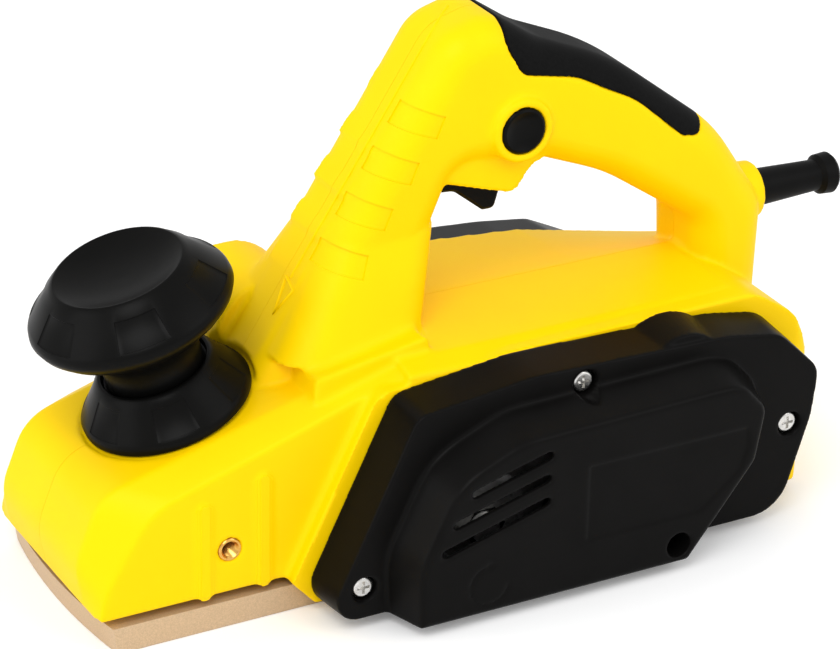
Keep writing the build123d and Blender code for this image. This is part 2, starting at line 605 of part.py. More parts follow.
with BuildPart() as depth_dial:
    with BuildSketch(KNOB_SECTION) as dial_section:
        with BuildLine():
            Polyline((SPINDLE_R, 0.1), (DIAL_R - 1, 0.1), (DIAL_R, 1.2), (DIAL_R, 3.2))
            Line((DIAL_R, 3.2), (19.5, 15.5))
            Polyline((19.5, 15.5), (17.5, 16.2), (17.2, 14.2), (SPINDLE_R, 14.2), (SPINDLE_R, 0.1))
        make_face()
    revolve(dial_section.sketch, axis=KNOB_AXIS)
    with BuildSketch(knob_plane(9.5)) as scallops:
        with PolarLocations(26.4, NOTCHES):
            Rectangle(6, 1.3)
    extrude(scallops.sketch, amount=-7, mode=Mode.SUBTRACT)
depth_dial.part.label = "depth_dial"
export_step(depth_dial.part, "parts/depth_dial.step")

with BuildPart() as front_knob:
    with BuildSketch(KNOB_SECTION) as cap_section:
        with BuildLine():
            Polyline((SPINDLE_R, 14.2), (STEM_R, 14.2), (STEM_R - 0.3, 22))
            Spline((STEM_R - 0.3, 22), (20, 28), (CAP_R - 1.6, RIM_H - 3), tangents=((0.15, 1), (1, 0.72)))
            Spline((CAP_R - 1.6, RIM_H - 3), (CAP_R, RIM_H), (CAP_R - 2.4, RIM_H + 4.6), (DISH_R + 1.6, DISH_H - 1.2),
                   tangents=((1, 0.72), (-1, 0.62)))
            Polyline((DISH_R + 1.6, DISH_H - 1.2), (DISH_R + 0.4, DISH_H - 0.2), (DISH_R - 0.6, DISH_H - 0.6))
            Spline((DISH_R - 0.6, DISH_H - 0.6), (12, DISH_H - 3.6), (0, DISH_H - 4.6),
                   tangents=((-1, -0.5), (-1, 0)))
            Polyline((0, DISH_H - 4.6), (0, SPINDLE_TOP), (SPINDLE_R, SPINDLE_TOP), (SPINDLE_R, 14.2))
        make_face()
    revolve(cap_section.sketch, axis=KNOB_AXIS)
front_knob.part.label = "front_knob"
export_step(front_knob.part, "parts/front_knob.step")

with BuildPart() as knob_spindle:
    with BuildSketch(knob_plane(SPINDLE_BOTTOM)) as rod:
        Circle(SPINDLE_R)
    extrude(rod.sketch, amount=SPINDLE_TOP - SPINDLE_BOTTOM)
knob_spindle.part.label = "knob_spindle"
export_step(knob_spindle.part, "parts/knob_spindle.step")

# ---------------------------------------------------------------- cutter drum, on two bearings
DRUM_SHAFT_Y0, DRUM_SHAFT_Y1 = -66.0, 50.4
SLOT_W, SLOT_R = 8.0, 17.5             # blade slots: width, and floor from the axis
BLADE_T, CLAMP_TOP_R = 1.6, 25.0
BLADE_ANGLE = 20
BLADE_SCREW_R, BLADE_HEAD_R = 1.6, 2.6
BLADE_SCREW_YS = (-27, 0, 27)

with BuildPart() as cutter_drum:
    ring_between(DRUM_X, DRUM_Z, DRUM_R, 0, -DRUM_LEN / 2, DRUM_LEN / 2)
    ring_between(DRUM_X, DRUM_Z, DRUM_SHAFT_R, 0, DRUM_SHAFT_Y0, DRUM_SHAFT_Y1)
    with BuildSketch(on_axis(DRUM_X, DRUM_Z, DRUM_LEN / 2)) as slots:
        with PolarLocations((SLOT_R + DRUM_R + 1) / 2, 2, start_angle=BLADE_ANGLE):
            Rectangle(DRUM_R + 1 - SLOT_R, SLOT_W)
    extrude(slots.sketch, amount=DRUM_LEN, mode=Mode.SUBTRACT)
    for y in BLADE_SCREW_YS:
        for turn in (0, 180):
            radial_disc(BLADE_ANGLE + turn, y, BLADE_SCREW_R, SLOT_R - 5, SLOT_R + 1, mode=Mode.SUBTRACT)
cutter_drum.part.label = "cutter_drum"
export_step(cutter_drum.part, "parts/cutter_drum.step")

with BuildPart() as cutter_blades:
    with BuildSketch(on_axis(DRUM_X, DRUM_Z, DRUM_LEN / 2)) as blade_ends:
        with PolarLocations(0, 2, start_angle=BLADE_ANGLE):
            with Locations(((SLOT_R + BLADE_TOP_R) / 2, (SLOT_W - BLADE_T) / 2)):
                Rectangle(BLADE_TOP_R - SLOT_R, BLADE_T)
    extrude(blade_ends.sketch, amount=DRUM_LEN)
cutter_blades.part.label = "cutter_blades"
export_step(cutter_blades.part, "parts/cutter_blades.step")

with BuildPart() as blade_clamps:
    with BuildSketch(on_axis(DRUM_X, DRUM_Z, DRUM_LEN / 2)) as clamp_ends:
        with PolarLocations(0, 2, start_angle=BLADE_ANGLE):
            with Locations(((SLOT_R + CLAMP_TOP_R) / 2, -BLADE_T / 2)):
                Rectangle(CLAMP_TOP_R - SLOT_R, SLOT_W - BLADE_T)
    extrude(clamp_ends.sketch, amount=DRUM_LEN)
    for y in BLADE_SCREW_YS:
        for turn in (0, 180):
            radial_disc(BLADE_ANGLE + turn, y, BLADE_SCREW_R, SLOT_R - 1, CLAMP_TOP_R, mode=Mode.SUBTRACT)
            radial_disc(BLADE_ANGLE + turn, y, BLADE_HEAD_R, CLAMP_TOP_R - 2, CLAMP_TOP_R + 1, mode=Mode.SUBTRACT)
blade_clamps.part.label = "blade_clamps"
export_step(blade_clamps.part, "parts/blade_clamps.step")

with BuildPart() as blade_screws:
    for y in BLADE_SCREW_YS:
        for turn in (0, 180):
            radial_disc(BLADE_ANGLE + turn, y, BLADE_SCREW_R, SLOT_R - 4.5, CLAMP_TOP_R - 2)
            radial_disc(BLADE_ANGLE + turn, y, BLADE_HEAD_R, CLAMP_TOP_R - 2, CLAMP_TOP_R)
            radial_disc(BLADE_ANGLE + turn, y, BLADE_HEAD_R - 1.3, CLAMP_TOP_R - 1.2, CLAMP_TOP_R, mode=Mode.SUBTRACT)
blade_screws.part.label = "blade_screws"
export_step(blade_screws.part, "parts/blade_screws.step")

with BuildPart() as drum_pulley:
    ring_between(DRUM_X, DRUM_Z, DRUM_PULLEY_R, DRUM_SHAFT_R, BELT_Y0, BELT_Y1)
    with BuildSketch(side(BELT_Y0)) as dish:
        with Locations((DRUM_X, DRUM_Z)):
            Circle(DRUM_PULLEY_R - 3)
            Circle(9, mode=Mode.SUBTRACT)
    extrude(dish.sketch, amount=-4, mode=Mode.SUBTRACT)
drum_pulley.part.label = "drum_pulley"
export_step(drum_pulley.part, "parts/drum_pulley.step")

with BuildPart() as drum_nut:
    with BuildSketch(on_axis(DRUM_X, DRUM_Z, BELT_Y0)) as nut_outline:
        RegularPolygon(radius=6.5, side_count=6, major_radius=False)
        Circle(DRUM_SHAFT_R, mode=Mode.SUBTRACT)
    extrude(nut_outline.sketch, amount=5)
drum_nut.part.label = "drum_nut"
export_step(drum_nut.part, "parts/drum_nut.step")

BEARINGS = [
    ("drum_bearing_left", DRUM_X, DRUM_Z, DRUM_BRG_R, DRUM_SHAFT_R, PLATE_Y0, PLATE_Y0 + DRUM_BRG_W),
    ("drum_bearing_right", DRUM_X, DRUM_Z, DRUM_BRG_R, DRUM_SHAFT_R, 50.8 - DRUM_BRG_W, 50.8),
    ("motor_bearing_left", MOTOR_X, MOTOR_Z, MOTOR_BRG_R, MOTOR_SHAFT_R, PLATE_Y0, PLATE_Y0 + MOTOR_BRG_W),
    ("motor_bearing_right", MOTOR_X, MOTOR_Z, MOTOR_BRG_R, MOTOR_SHAFT_R, 54.4 - MOTOR_BRG_W, 54.4),
]
RACE_T, SEAL_INSET = 2.4, 0.5

for name, x, z, r_out, r_shaft, y0, y1 in BEARINGS:
    with BuildPart() as bearing:
        ring_between(x, z, r_out, r_shaft + FIT, y0, y1)
        for y in (y0, y1 - SEAL_INSET):
            ring_between(x, z, r_out - RACE_T, r_shaft + RACE_T, y, y + SEAL_INSET, mode=Mode.SUBTRACT)
    bearing.part.label = name
    export_step(bearing.part, f"parts/{name}.step")

PLATE_HEAD_R, PLATE_HEAD_H = 3.2, 2.0

with BuildPart() as bearing_plate:
    strap(19, 15.5, PLATE_Y0, PLATE_Y1)
    ring_between(DRUM_X, DRUM_Z, 16.2, 0, PLATE_Y1, PLATE_Y0 + DRUM_BRG_W)
    ring_between(MOTOR_X, MOTOR_Z, 14.2, 0, PLATE_Y1, PLATE_Y0 + MOTOR_BRG_W)
    ring_between(DRUM_X, DRUM_Z, DRUM_BRG_R, 0, PLATE_Y0 - 1, PLATE_Y0 + DRUM_BRG_W + 1, mode=Mode.SUBTRACT)
    ring_between(MOTOR_X, MOTOR_Z, MOTOR_BRG_R, 0, PLATE_Y0 - 1, PLATE_Y0 + MOTOR_BRG_W + 1, mode=Mode.SUBTRACT)
    for x, z in PLATE_SCREWS:
        ring_between(x, z, TAP_R, 0, PLATE_Y0 - 1, PLATE_Y1 + 1, mode=Mode.SUBTRACT)
        ring_between(x, z, PLATE_HEAD_R, 0, PLATE_Y0, PLATE_Y0 + PLATE_HEAD_H, mode=Mode.SUBTRACT)
bearing_plate.part.label = "bearing_plate"
export_step(bearing_plate.part, "parts/bearing_plate.step")

with BuildPart() as plate_screws:
    for x, z in PLATE_SCREWS:
        ring_between(x, z, TAP_R, 0, PLATE_Y0 + PLATE_HEAD_H, -CAVITY_HALF_W + 1)
        ring_between(x, z, PLATE_HEAD_R - 0.1, 0, PLATE_Y0 + 0.1, PLATE_Y0 + PLATE_HEAD_H)
plate_screws.part.label = "plate_screws"
export_step(plate_screws.part, "parts/plate_screws.step")

# ---------------------------------------------------------------- motor
with BuildPart() as armature_shaft:
    ring_between(MOTOR_X, MOTOR_Z, MOTOR_SHAFT_R, 0, BELT_Y0 + 0.3, 54)
armature_shaft.part.label = "armature_shaft"
export_step(armature_shaft.part, "parts/armature_shaft.step")

CORE_SLOTS = 12

with BuildPart() as armature_core:
    with BuildSketch(on_axis(MOTOR_X, MOTOR_Z, STACK_Y1)) as lamination:
        Circle(ROTOR_R)
        with PolarLocations(ROTOR_R - 2.5, CORE_SLOTS):
            Rectangle(6, 2, mode=Mode.SUBTRACT)
        Circle(MOTOR_SHAFT_R, mode=Mode.SUBTRACT)
    extrude(lamination.sketch, amount=STACK_Y1 - STACK_Y0)
armature_core.part.label = "armature_core"
export_step(armature_core.part, "parts/armature_core.step")

with BuildPart() as armature_windings:
    ring_between(MOTOR_X, MOTOR_Z, 15.2, MOTOR_SHAFT_R, STACK_Y0 - 8, STACK_Y0)
    ring_between(MOTOR_X, MOTOR_Z, 15.2, MOTOR_SHAFT_R, STACK_Y1, STACK_Y1 + 8)
    outer = armature_windings.edges().filter_by(GeomType.CIRCLE).filter_by(
        lambda e: e.radius > 15 and not STACK_Y0 - 1 < e.center().Y < STACK_Y1 + 1
    )
    fillet(outer, 3)
armature_windings.part.label = "armature_windings"
export_step(armature_windings.part, "parts/armature_windings.step")

COMM_R, COMM_Y0, COMM_Y1 = 11.0, 31.0, 44.0

with BuildPart() as commutator:
    ring_between(MOTOR_X, MOTOR_Z, COMM_R, MOTOR_SHAFT_R, COMM_Y0, COMM_Y1)
    with BuildSketch(on_axis(MOTOR_X, MOTOR_Z, COMM_Y1)) as gaps:
        with PolarLocations(COMM_R, 2 * CORE_SLOTS):
            Rectangle(1.2, 0.5)
    extrude(gaps.sketch, amount=COMM_Y1 - COMM_Y0, mode=Mode.SUBTRACT)
commutator.part.label = "commutator"
export_step(commutator.part, "parts/commutator.step")

FAN_Y0, FAN_Y1, FAN_BLADES = -40.0, -28.0, 12

with BuildPart() as motor_fan:
    ring_between(MOTOR_X, MOTOR_Z, FAN_R, MOTOR_SHAFT_R, FAN_Y0, FAN_Y0 + 1.8)
    ring_between(MOTOR_X, MOTOR_Z, 8, MOTOR_SHAFT_R, FAN_Y0, FAN_Y1)
    with BuildSketch(on_axis(MOTOR_X, MOTOR_Z, FAN_Y1)) as vanes:
        with PolarLocations(19, FAN_BLADES):
            Rectangle(15, 1.4, rotation=28)
    extrude(vanes.sketch, amount=FAN_Y1 - FAN_Y0 - 1)
motor_fan.part.label = "motor_fan"
export_step(motor_fan.part, "parts/motor_fan.step")

with BuildPart() as motor_pulley:
    ring_between(MOTOR_X, MOTOR_Z, MOTOR_PULLEY_R, MOTOR_SHAFT_R, BELT_Y0, BELT_Y1)
motor_pulley.part.label = "motor_pulley"
export_step(motor_pulley.part, "parts/motor_pulley.step")

YOKE_R = 23.5

with BuildPart() as stator_core:
    with BuildSketch(on_axis(MOTOR_X, MOTOR_Z, STACK_Y1)) as stator_section:
        Circle(YOKE_R)
        Rectangle(2 * STATOR_R, 30, mode=Mode.INTERSECT)
        with BuildSketch(on_axis(MOTOR_X, MOTOR_Z, STACK_Y1), mode=Mode.PRIVATE) as yoke:
            Circle(STATOR_R)
            Circle(YOKE_R, mode=Mode.SUBTRACT)
        add(yoke.sketch_local)
        Circle(ROTOR_R + AIR_GAP, mode=Mode.SUBTRACT)
    extrude(stator_section.sketch, amount=STACK_Y1 - STACK_Y0)
stator_core.part.label = "stator_core"
export_step(stator_core.part, "parts/stator_core.step")

with BuildPart() as field_coils:
    with BuildSketch(on_axis(MOTOR_X, MOTOR_Z, STACK_Y1 + 6)) as coil_section:
        Circle(YOKE_R)
        Circle(ROTOR_R + 1.6, mode=Mode.SUBTRACT)
        Rectangle(2 * STATOR_R, 30, mode=Mode.SUBTRACT)
    extrude(coil_section.sketch, amount=STACK_Y1 - STACK_Y0 + 12)
field_coils.part.label = "field_coils"
export_step(field_coils.part, "parts/field_coils.step")

# ---------------------------------------------------------------- brushes, either side of the commutator
BRUSH_W = 6.4
BRUSH_R0, BRUSH_R1, HOLDER_R0 = COMM_R + FIT, 22.0, 13.5
HOLDER_CAP = 1.0

with BuildPart() as brush_holders:
    for s in (-1, 1):
        with Locations((MOTOR_X + s * (HOLDER_R0 + HOLDER_R1) / 2, BRUSH_Y, MOTOR_Z)):
            Box(HOLDER_R1 - HOLDER_R0, HOLDER_W, HOLDER_W)
        with Locations((MOTOR_X + s * (HOLDER_R0 + HOLDER_R1 - HOLDER_CAP) / 2, BRUSH_Y, MOTOR_Z)):
            Box(HOLDER_R1 - HOLDER_R0 - HOLDER_CAP, BRUSH_W, BRUSH_W, mode=Mode.SUBTRACT)
brush_holders.part.label = "brush_holders"
export_step(brush_holders.part, "parts/brush_holders.step")

with BuildPart() as carbon_brushes:
    for s in (-1, 1):
        with Locations((MOTOR_X + s * (9 + BRUSH_R1) / 2, BRUSH_Y, MOTOR_Z)):
            Box(BRUSH_R1 - 9, BRUSH_W, BRUSH_W)
    ring_between(MOTOR_X, MOTOR_Z, BRUSH_R0, 0, BRUSH_Y - 5, BRUSH_Y + 5, mode=Mode.SUBTRACT)
carbon_brushes.part.label = "carbon_brushes"
export_step(carbon_brushes.part, "parts/carbon_brushes.step")

BRUSH_SPRING_R, BRUSH_WIRE = 2.3, 0.5
BRUSH_SPRING_H = HOLDER_R1 - HOLDER_CAP - BRUSH_R1 - BRUSH_WIRE

with BuildPart() as brush_springs:
    for s in (-1, 1):
        foot = (MOTOR_X + s * (BRUSH_R1 + BRUSH_WIRE / 2), BRUSH_Y, MOTOR_Z)
        add(coil_spring(Plane(origin=foot, z_dir=(s, 0, 0)), BRUSH_SPRING_R, BRUSH_WIRE, BRUSH_SPRING_H, 4))
brush_springs.part.label = "brush_springs"
export_step(brush_springs.part, "parts/brush_springs.step")

# ---------------------------------------------------------------- belt
with BuildPart() as drive_belt:
    strap(DRUM_PULLEY_R + GAP + BELT_T, MOTOR_PULLEY_R + GAP + BELT_T, BELT_Y0 + 0.5, BELT_Y1 - 0.5)
    strap(DRUM_PULLEY_R + GAP, MOTOR_PULLEY_R + GAP, BELT_Y0, BELT_Y1, mode=Mode.SUBTRACT)
drive_belt.part.label = "drive_belt"
export_step(drive_belt.part, "parts/drive_belt.step")

# ---------------------------------------------------------------- belt cover
BAND = [(-136.5, 2.8), (-102.5, 73.5), (-60, 78.6), (14, 76.8), (35, 73), (52.5, 56), (50.5, 38), (39.5, 2.8)]
BAND_RADII = [9, 8, 60, 60, 14, 10, 30, 16]
BULGE = [(-113, -8), (-114.5, 26), (-99, 58), (-72, 69.5), (13, 71.5), (27, 56), (23, 33), (-9, -8)]
BULGE_RADII = [1, 30, 30, 30, 18, 12, 12, 1]
BULGE_ROOT_Y = -58.0
EAR_X, EAR_Z, EAR_R = -2.0, 60.6, 20.0
HEAD_R, HEAD_H = 3.9, 2.4
COVER_HEAD_Y = [-59.0, -59.0, -59.0, -54.0]    # where each screw's head lands
COVER_POST_Y = [-62.0, -62.0, -62.0, -76.5]    # where its post joins the cover
SLOTS = [(-75.4, 52.4, 30.5), (-78.8, 43.5, 36.5), (-80.7, 34.6, 40.6)]
SLOT_WIDTH, SLOT_TILT = 3.0, 15.5
RECESS = [(-47.5, 49.2), (-47.5, 21.5), (-3.5, 21.5), (11.5, 33.5), (14.3, 42), (13.6, 49.2)]
ARROW_X, ARROW_Z, ARROW_R = -83.0, 14.4, 7.0

with BuildPart() as belt_cover:
    with BuildSketch(side(-BODY_HALF_W)) as band_shape:
        with BuildLine():
            FilletPolyline(*BAND, radius=BAND_RADII, close=True)
        make_face()
    extrude(band_shape.sketch, amount=-BAND_Y - BODY_HALF_W, taper=5)
    with BuildSketch(side(-BODY_HALF_W)) as ear_shape:
        with Locations((EAR_X, EAR_Z)):
            Circle(EAR_R)
    extrude(ear_shape.sketch, amount=-BAND_Y - BODY_HALF_W - 1.5, taper=8)
    with BuildSketch(side(BULGE_ROOT_Y)) as bulge_shape:
        with BuildLine():
            FilletPolyline(*BULGE, radius=BULGE_RADII, close=True)
        make_face()
    extrude(bulge_shape.sketch, amount=BULGE_ROOT_Y - BULGE_Y, taper=18)
    with Locations((-40, -62, COVER_BOTTOM_Z - 20)):
        Box(220, 60, 40, mode=Mode.SUBTRACT)
    fillet(belt_cover.faces().sort_by(Axis.Y)[0].edges(), 2.2)
    # inside, open to the housing
    with BuildSketch(side(-BODY_HALF_W)) as band_inside:
        with BuildLine():
            FilletPolyline(*BAND, radius=BAND_RADII, close=True)
        make_face()
        offset(amount=-COVER_WALL - 0.5, mode=Mode.REPLACE)
    extrude(band_inside.sketch, amount=-BAND_Y - BODY_HALF_W - COVER_WALL, taper=5, mode=Mode.SUBTRACT)
    with BuildSketch(side(BULGE_ROOT_Y + 1)) as bulge_inside:
        with BuildLine():
            FilletPolyline(*BULGE, radius=BULGE_RADII, close=True)
        make_face()
        offset(amount=-COVER_WALL - 0.5, mode=Mode.REPLACE)
        with Locations((-40, -50 + COVER_BOTTOM_Z + COVER_WALL)):
            Rectangle(220, 100, mode=Mode.SUBTRACT)
    extrude(bulge_inside.sketch, amount=BULGE_ROOT_Y + 1 - BULGE_Y - COVER_WALL, taper=17, mode=Mode.SUBTRACT)
    # posts, holes and pockets for the screws
    for (x, z), head_y, post_y in zip(COVER_SCREWS, COVER_HEAD_Y, COVER_POST_Y):
        ring_between(x, z, HEAD_R + 2.0, 0, post_y, -BODY_HALF_W)
        ring_between(x, z, TAP_R + 0.2, 0, head_y - 1, -BODY_HALF_W + 1, mode=Mode.SUBTRACT)
        ring_between(x, z, HEAD_R + 0.5, 0, BULGE_Y - 1, head_y, mode=Mode.SUBTRACT)
    # air slots, the plain recess for a label, and the rotation arrow
    for x, z, length in SLOTS:
        with BuildSketch(side(BULGE_Y + 6)) as slot_shape:
            with Locations((x, z)):
                SlotOverall(length, SLOT_WIDTH, rotation=SLOT_TILT)
        extrude(slot_shape.sketch, amount=10, mode=Mode.SUBTRACT)
    with BuildSketch(side(BULGE_Y + 0.5)) as recess_shape:
        with BuildLine():
            FilletPolyline(*RECESS, radius=1.2, close=True)
        make_face()
    extrude(recess_shape.sketch, amount=2, mode=Mode.SUBTRACT)
    with BuildSketch(on_axis(ARROW_X, ARROW_Z, BULGE_Y + 0.5)) as arrow_shape:
        Circle(ARROW_R + 0.7)
        Circle(ARROW_R - 0.7, mode=Mode.SUBTRACT)
        with Locations((ARROW_R, ARROW_R)):
            Rectangle(2 * ARROW_R, 2 * ARROW_R, rotation=20, mode=Mode.SUBTRACT)
        with Locations((0.8, ARROW_R)):
            Triangle(a=4.4, b=4.4, c=4.4, rotation=-90, align=(Align.CENTER, Align.CENTER))
    extrude(arrow_shape.sketch, amount=2, mode=Mode.SUBTRACT)
belt_cover.part.label = "belt_cover"
export_step(belt_cover.part, "parts/belt_cover.step")

with BuildPart() as belt_cover_screws:
    for i, ((x, z), head_y) in enumerate(zip(COVER_SCREWS, COVER_HEAD_Y)):
        depth = 4 if i == 2 else 9
        ring_between(x, z, TAP_R, 0, head_y, -BODY_HALF_W + depth)
        ring_between(x, z, HEAD_R, 0, head_y - HEAD_H, head_y)
    domes = belt_cover_screws.edges().filter_by(GeomType.CIRCLE).filter_by(
        lambda e: e.radius > 3 and e.center().Y < -55 and min(abs(e.center().Y - y + HEAD_H) for y in COVER_HEAD_Y) < 0.1
    )
    fillet(domes, 1.2)
    for (x, z), head_y in zip(COVER_SCREWS, COVER_HEAD_Y):
        with BuildSketch(on_axis(x, z, head_y - HEAD_H)) as cross:
            Rectangle(4.4, 1.0)
            Rectangle(1.0, 4.4)
        extrude(cross.sketch, amount=-1.5, mode=Mode.SUBTRACT)
belt_cover_screws.part.label = "belt_cover_screws"
export_step(belt_cover_screws.part, "parts/belt_cover_screws.step")

# ---------------------------------------------------------------- motor cover, on the far side
MOTOR_COVER = [(-56, 6), (-56, 68), (-49, 74), (-8, 70.8), (12, 68), (22, 63.2), (43, 52.7), (52, 40), (52, 14), (44, 6)]
MOTOR_COVER_RADII = [8, 6, 8, 30, 12, 12, 14, 12, 8, 8]
MOTOR_HEAD_Y = 51.0
MOTOR_VENT_ZS = (22.0, 30.0, 38.0, 46.0, 54.0)

with BuildPart() as motor_cover:
    with BuildSketch(side(BODY_HALF_W)) as cover_shape:
        with BuildLine():
            FilletPolyline(*MOTOR_COVER, radius=MOTOR_COVER_RADII, close=True)
        make_face()
    extrude(cover_shape.sketch, amount=-(MOTOR_COVER_Y - BODY_HALF_W), taper=6)
    fillet(motor_cover.faces().sort_by(Axis.Y)[-1].edges(), 3)
    with BuildSketch(side(BODY_HALF_W)) as cover_inside:
        with BuildLine():
            FilletPolyline(*MOTOR_COVER, radius=MOTOR_COVER_RADII, close=True)
        make_face()
        offset(amount=-COVER_WALL, mode=Mode.REPLACE)
    extrude(cover_inside.sketch, amount=-(MOTOR_COVER_Y - BODY_HALF_W - COVER_WALL), taper=6, mode=Mode.SUBTRACT)
    for x, z in MOTOR_COVER_SCREWS:
        ring_between(x, z, HEAD_R + 2, 0, BODY_HALF_W, MOTOR_COVER_Y - 1)
        ring_between(x, z, TAP_R + 0.2, 0, BODY_HALF_W - 1, MOTOR_HEAD_Y + 1, mode=Mode.SUBTRACT)
        ring_between(x, z, HEAD_R + 0.5, 0, MOTOR_HEAD_Y, MOTOR_COVER_Y + 1, mode=Mode.SUBTRACT)
    for z in MOTOR_VENT_ZS:
        with BuildSketch(side(MOTOR_COVER_Y + 1)) as vent_shape:
            with Locations((-2, z)):
                SlotOverall(54, SLOT_WIDTH)
        extrude(vent_shape.sketch, amount=6, mode=Mode.SUBTRACT)
motor_cover.part.label = "motor_cover"
export_step(motor_cover.part, "parts/motor_cover.step")

with BuildPart() as motor_cover_screws:
    for x, z in MOTOR_COVER_SCREWS:
        ring_between(x, z, TAP_R, 0, BODY_HALF_W - 8, MOTOR_HEAD_Y)
        ring_between(x, z, HEAD_R, 0, MOTOR_HEAD_Y, MOTOR_HEAD_Y + HEAD_H)
    for x, z in MOTOR_COVER_SCREWS:
        with BuildSketch(on_axis(x, z, MOTOR_HEAD_Y + HEAD_H)) as cross:
            Rectangle(4.4, 1.0)
            Rectangle(1.0, 4.4)
        extrude(cross.sketch, amount=1.5, mode=Mode.SUBTRACT)
motor_cover_screws.part.label = "motor_cover_screws"
export_step(motor_cover_screws.part, "parts/motor_cover_screws.step")

# ---------------------------------------------------------------- switch, trigger and lock button
SWITCH_X0, SWITCH_X1, SWITCH_Z0, SWITCH_Z1 = -71.0, -36.0, 137.5, 158.0
TRIGGER_HALF_W = 8.95
TRIGGER_TOP_Z = 131.0
TRIGGER_SPRING_X, TRIGGER_SPRING_R, SPRING_POCKET = -54.0, 3.2, 5.0
LOCK_Y0, LOCK_Y1 = -21.5, -12.5
LOCK_SPRING_R = 3.4
SMALL_WIRE = 0.6

with BuildPart() as switch_body:
    with Locations(((SWITCH_X0 + SWITCH_X1) / 2, 0, (SWITCH_Z0 + SWITCH_Z1) / 2)):
        Box(SWITCH_X1 - SWITCH_X0, 2 * SWITCH_HALF_W, SWITCH_Z1 - SWITCH_Z0)
    fillet(switch_body.edges().filter_by(Axis.Y), 1.5)
switch_body.part.label = "switch_body"
export_step(switch_body.part, "parts/switch_body.step")

with BuildPart() as trigger:
    with BuildSketch(Plane.XZ):
        with BuildLine():
            FilletPolyline(
                (-66, 120.4), (-60.5, 120.0), (-49.5, 111.2), (-45.2, 111.2), (-43.2, 118), (-43, TRIGGER_TOP_Z),
                (-66, TRIGGER_TOP_Z), radius=[1.5, 5, 2, 2, 4, 1, 1], close=True,
            )
        make_face()
    extrude(amount=TRIGGER_HALF_W, both=True)
    rims = trigger.faces().filter_by(Axis.Y).edges().filter_by(lambda e: e.center().Z < TRIGGER_TOP_Z - 1)
    chamfer(rims.filter_by(lambda e: e.center().Z < 119), length=1.0)
    with Locations((TRIGGER_SPRING_X, 0, TRIGGER_TOP_Z - SPRING_POCKET / 2)):
        Cylinder(TRIGGER_SPRING_R + 1, SPRING_POCKET, mode=Mode.SUBTRACT)
trigger.part.label = "trigger"
export_step(trigger.part, "parts/trigger.step")

with BuildPart() as trigger_spring:
    foot_z = TRIGGER_TOP_Z - SPRING_POCKET + SMALL_WIRE / 2
    foot = Plane(origin=(TRIGGER_SPRING_X, 0, foot_z))
    add(coil_spring(foot, TRIGGER_SPRING_R, SMALL_WIRE, SWITCH_Z0 - SMALL_WIRE / 2 - foot_z, 5))
trigger_spring.part.label = "trigger_spring"
export_step(trigger_spring.part, "parts/trigger_spring.step")

with BuildPart() as lock_button:
    ring_between(LOCK_X, LOCK_Z, LOCK_R, 0, LOCK_Y0, LOCK_Y1)
    fillet(lock_button.edges().sort_by(Axis.Y)[0], 1.5)
    ring_between(LOCK_X, LOCK_Z, LOCK_SPRING_R + 1, 0, LOCK_Y1 - 5, LOCK_Y1, mode=Mode.SUBTRACT)
lock_button.part.label = "lock_button"
export_step(lock_button.part, "parts/lock_button.step")

with BuildPart() as lock_spring:
    foot_y = LOCK_Y1 - 5 + SMALL_WIRE / 2
    foot = Plane(origin=(LOCK_X, foot_y, LOCK_Z), z_dir=(0, 1, 0))
    add(coil_spring(foot, LOCK_SPRING_R, SMALL_WIRE, -SWITCH_HALF_W - SMALL_WIRE / 2 - foot_y, 4))
lock_spring.part.label = "lock_spring"
export_step(lock_spring.part, "parts/lock_spring.step")

with BuildPart() as capacitor:
    with Locations((-31, 7, CAVITY_Z0 + 4)):
        Box(14, 13, 8)
    fillet(capacitor.edges().filter_by(Axis.Z), 1)
capacitor.part.label = "capacitor"
export_step(capacitor.part, "parts/capacitor.step")

# ---------------------------------------------------------------- cord guard and clamp
GUARD_TIP_X, GUARD_BORE_R = 95.0, 3.2

with BuildPart() as cord_guard:
    with BuildSketch(Plane.XZ):
        with BuildLine():
            Polyline(
                (GUARD_SEAT_X - 3.5, GUARD_Z + GUARD_BORE_R), (GUARD_SEAT_X - 3.5, GUARD_Z + GUARD_FLANGE_R),
                (GUARD_SEAT_X, GUARD_Z + GUARD_FLANGE_R), (GUARD_SEAT_X, GUARD_Z + GUARD_ROOT_R),
                (BODY_REAR_X + 2, GUARD_Z + GUARD_ROOT_R), (GUARD_TIP_X - 7, GUARD_Z + 5.5),
                (GUARD_TIP_X - 5.5, GUARD_Z + 7), (GUARD_TIP_X - 1.2, GUARD_Z + 7.3), (GUARD_TIP_X, GUARD_Z + 6.3),
                (GUARD_TIP_X, GUARD_Z + GUARD_BORE_R), (GUARD_SEAT_X - 3.5, GUARD_Z + GUARD_BORE_R),
            )
        make_face()
    revolve(axis=Axis((0, 0, GUARD_Z), (1, 0, 0)))
cord_guard.part.label = "cord_guard"
export_step(cord_guard.part, "parts/cord_guard.step")

CLAMP_Y0, CLAMP_Y1 = 4.0, 7.0

with BuildPart() as cord_clamp:
    with Locations((CLAMP_X, (CLAMP_Y0 + CLAMP_Y1) / 2, sum(CLAMP_ZS) / 2)):
        Box(8, CLAMP_Y1 - CLAMP_Y0, CLAMP_ZS[1] - CLAMP_ZS[0] + 7)
    fillet(cord_clamp.edges().filter_by(Axis.Y), 2)
    for z in CLAMP_ZS:
        ring_between(CLAMP_X, z, TAP_R, 0, CLAMP_Y0 - 1, CLAMP_Y1 + 1, mode=Mode.SUBTRACT)
cord_clamp.part.label = "cord_clamp"
export_step(cord_clamp.part, "parts/cord_clamp.step")

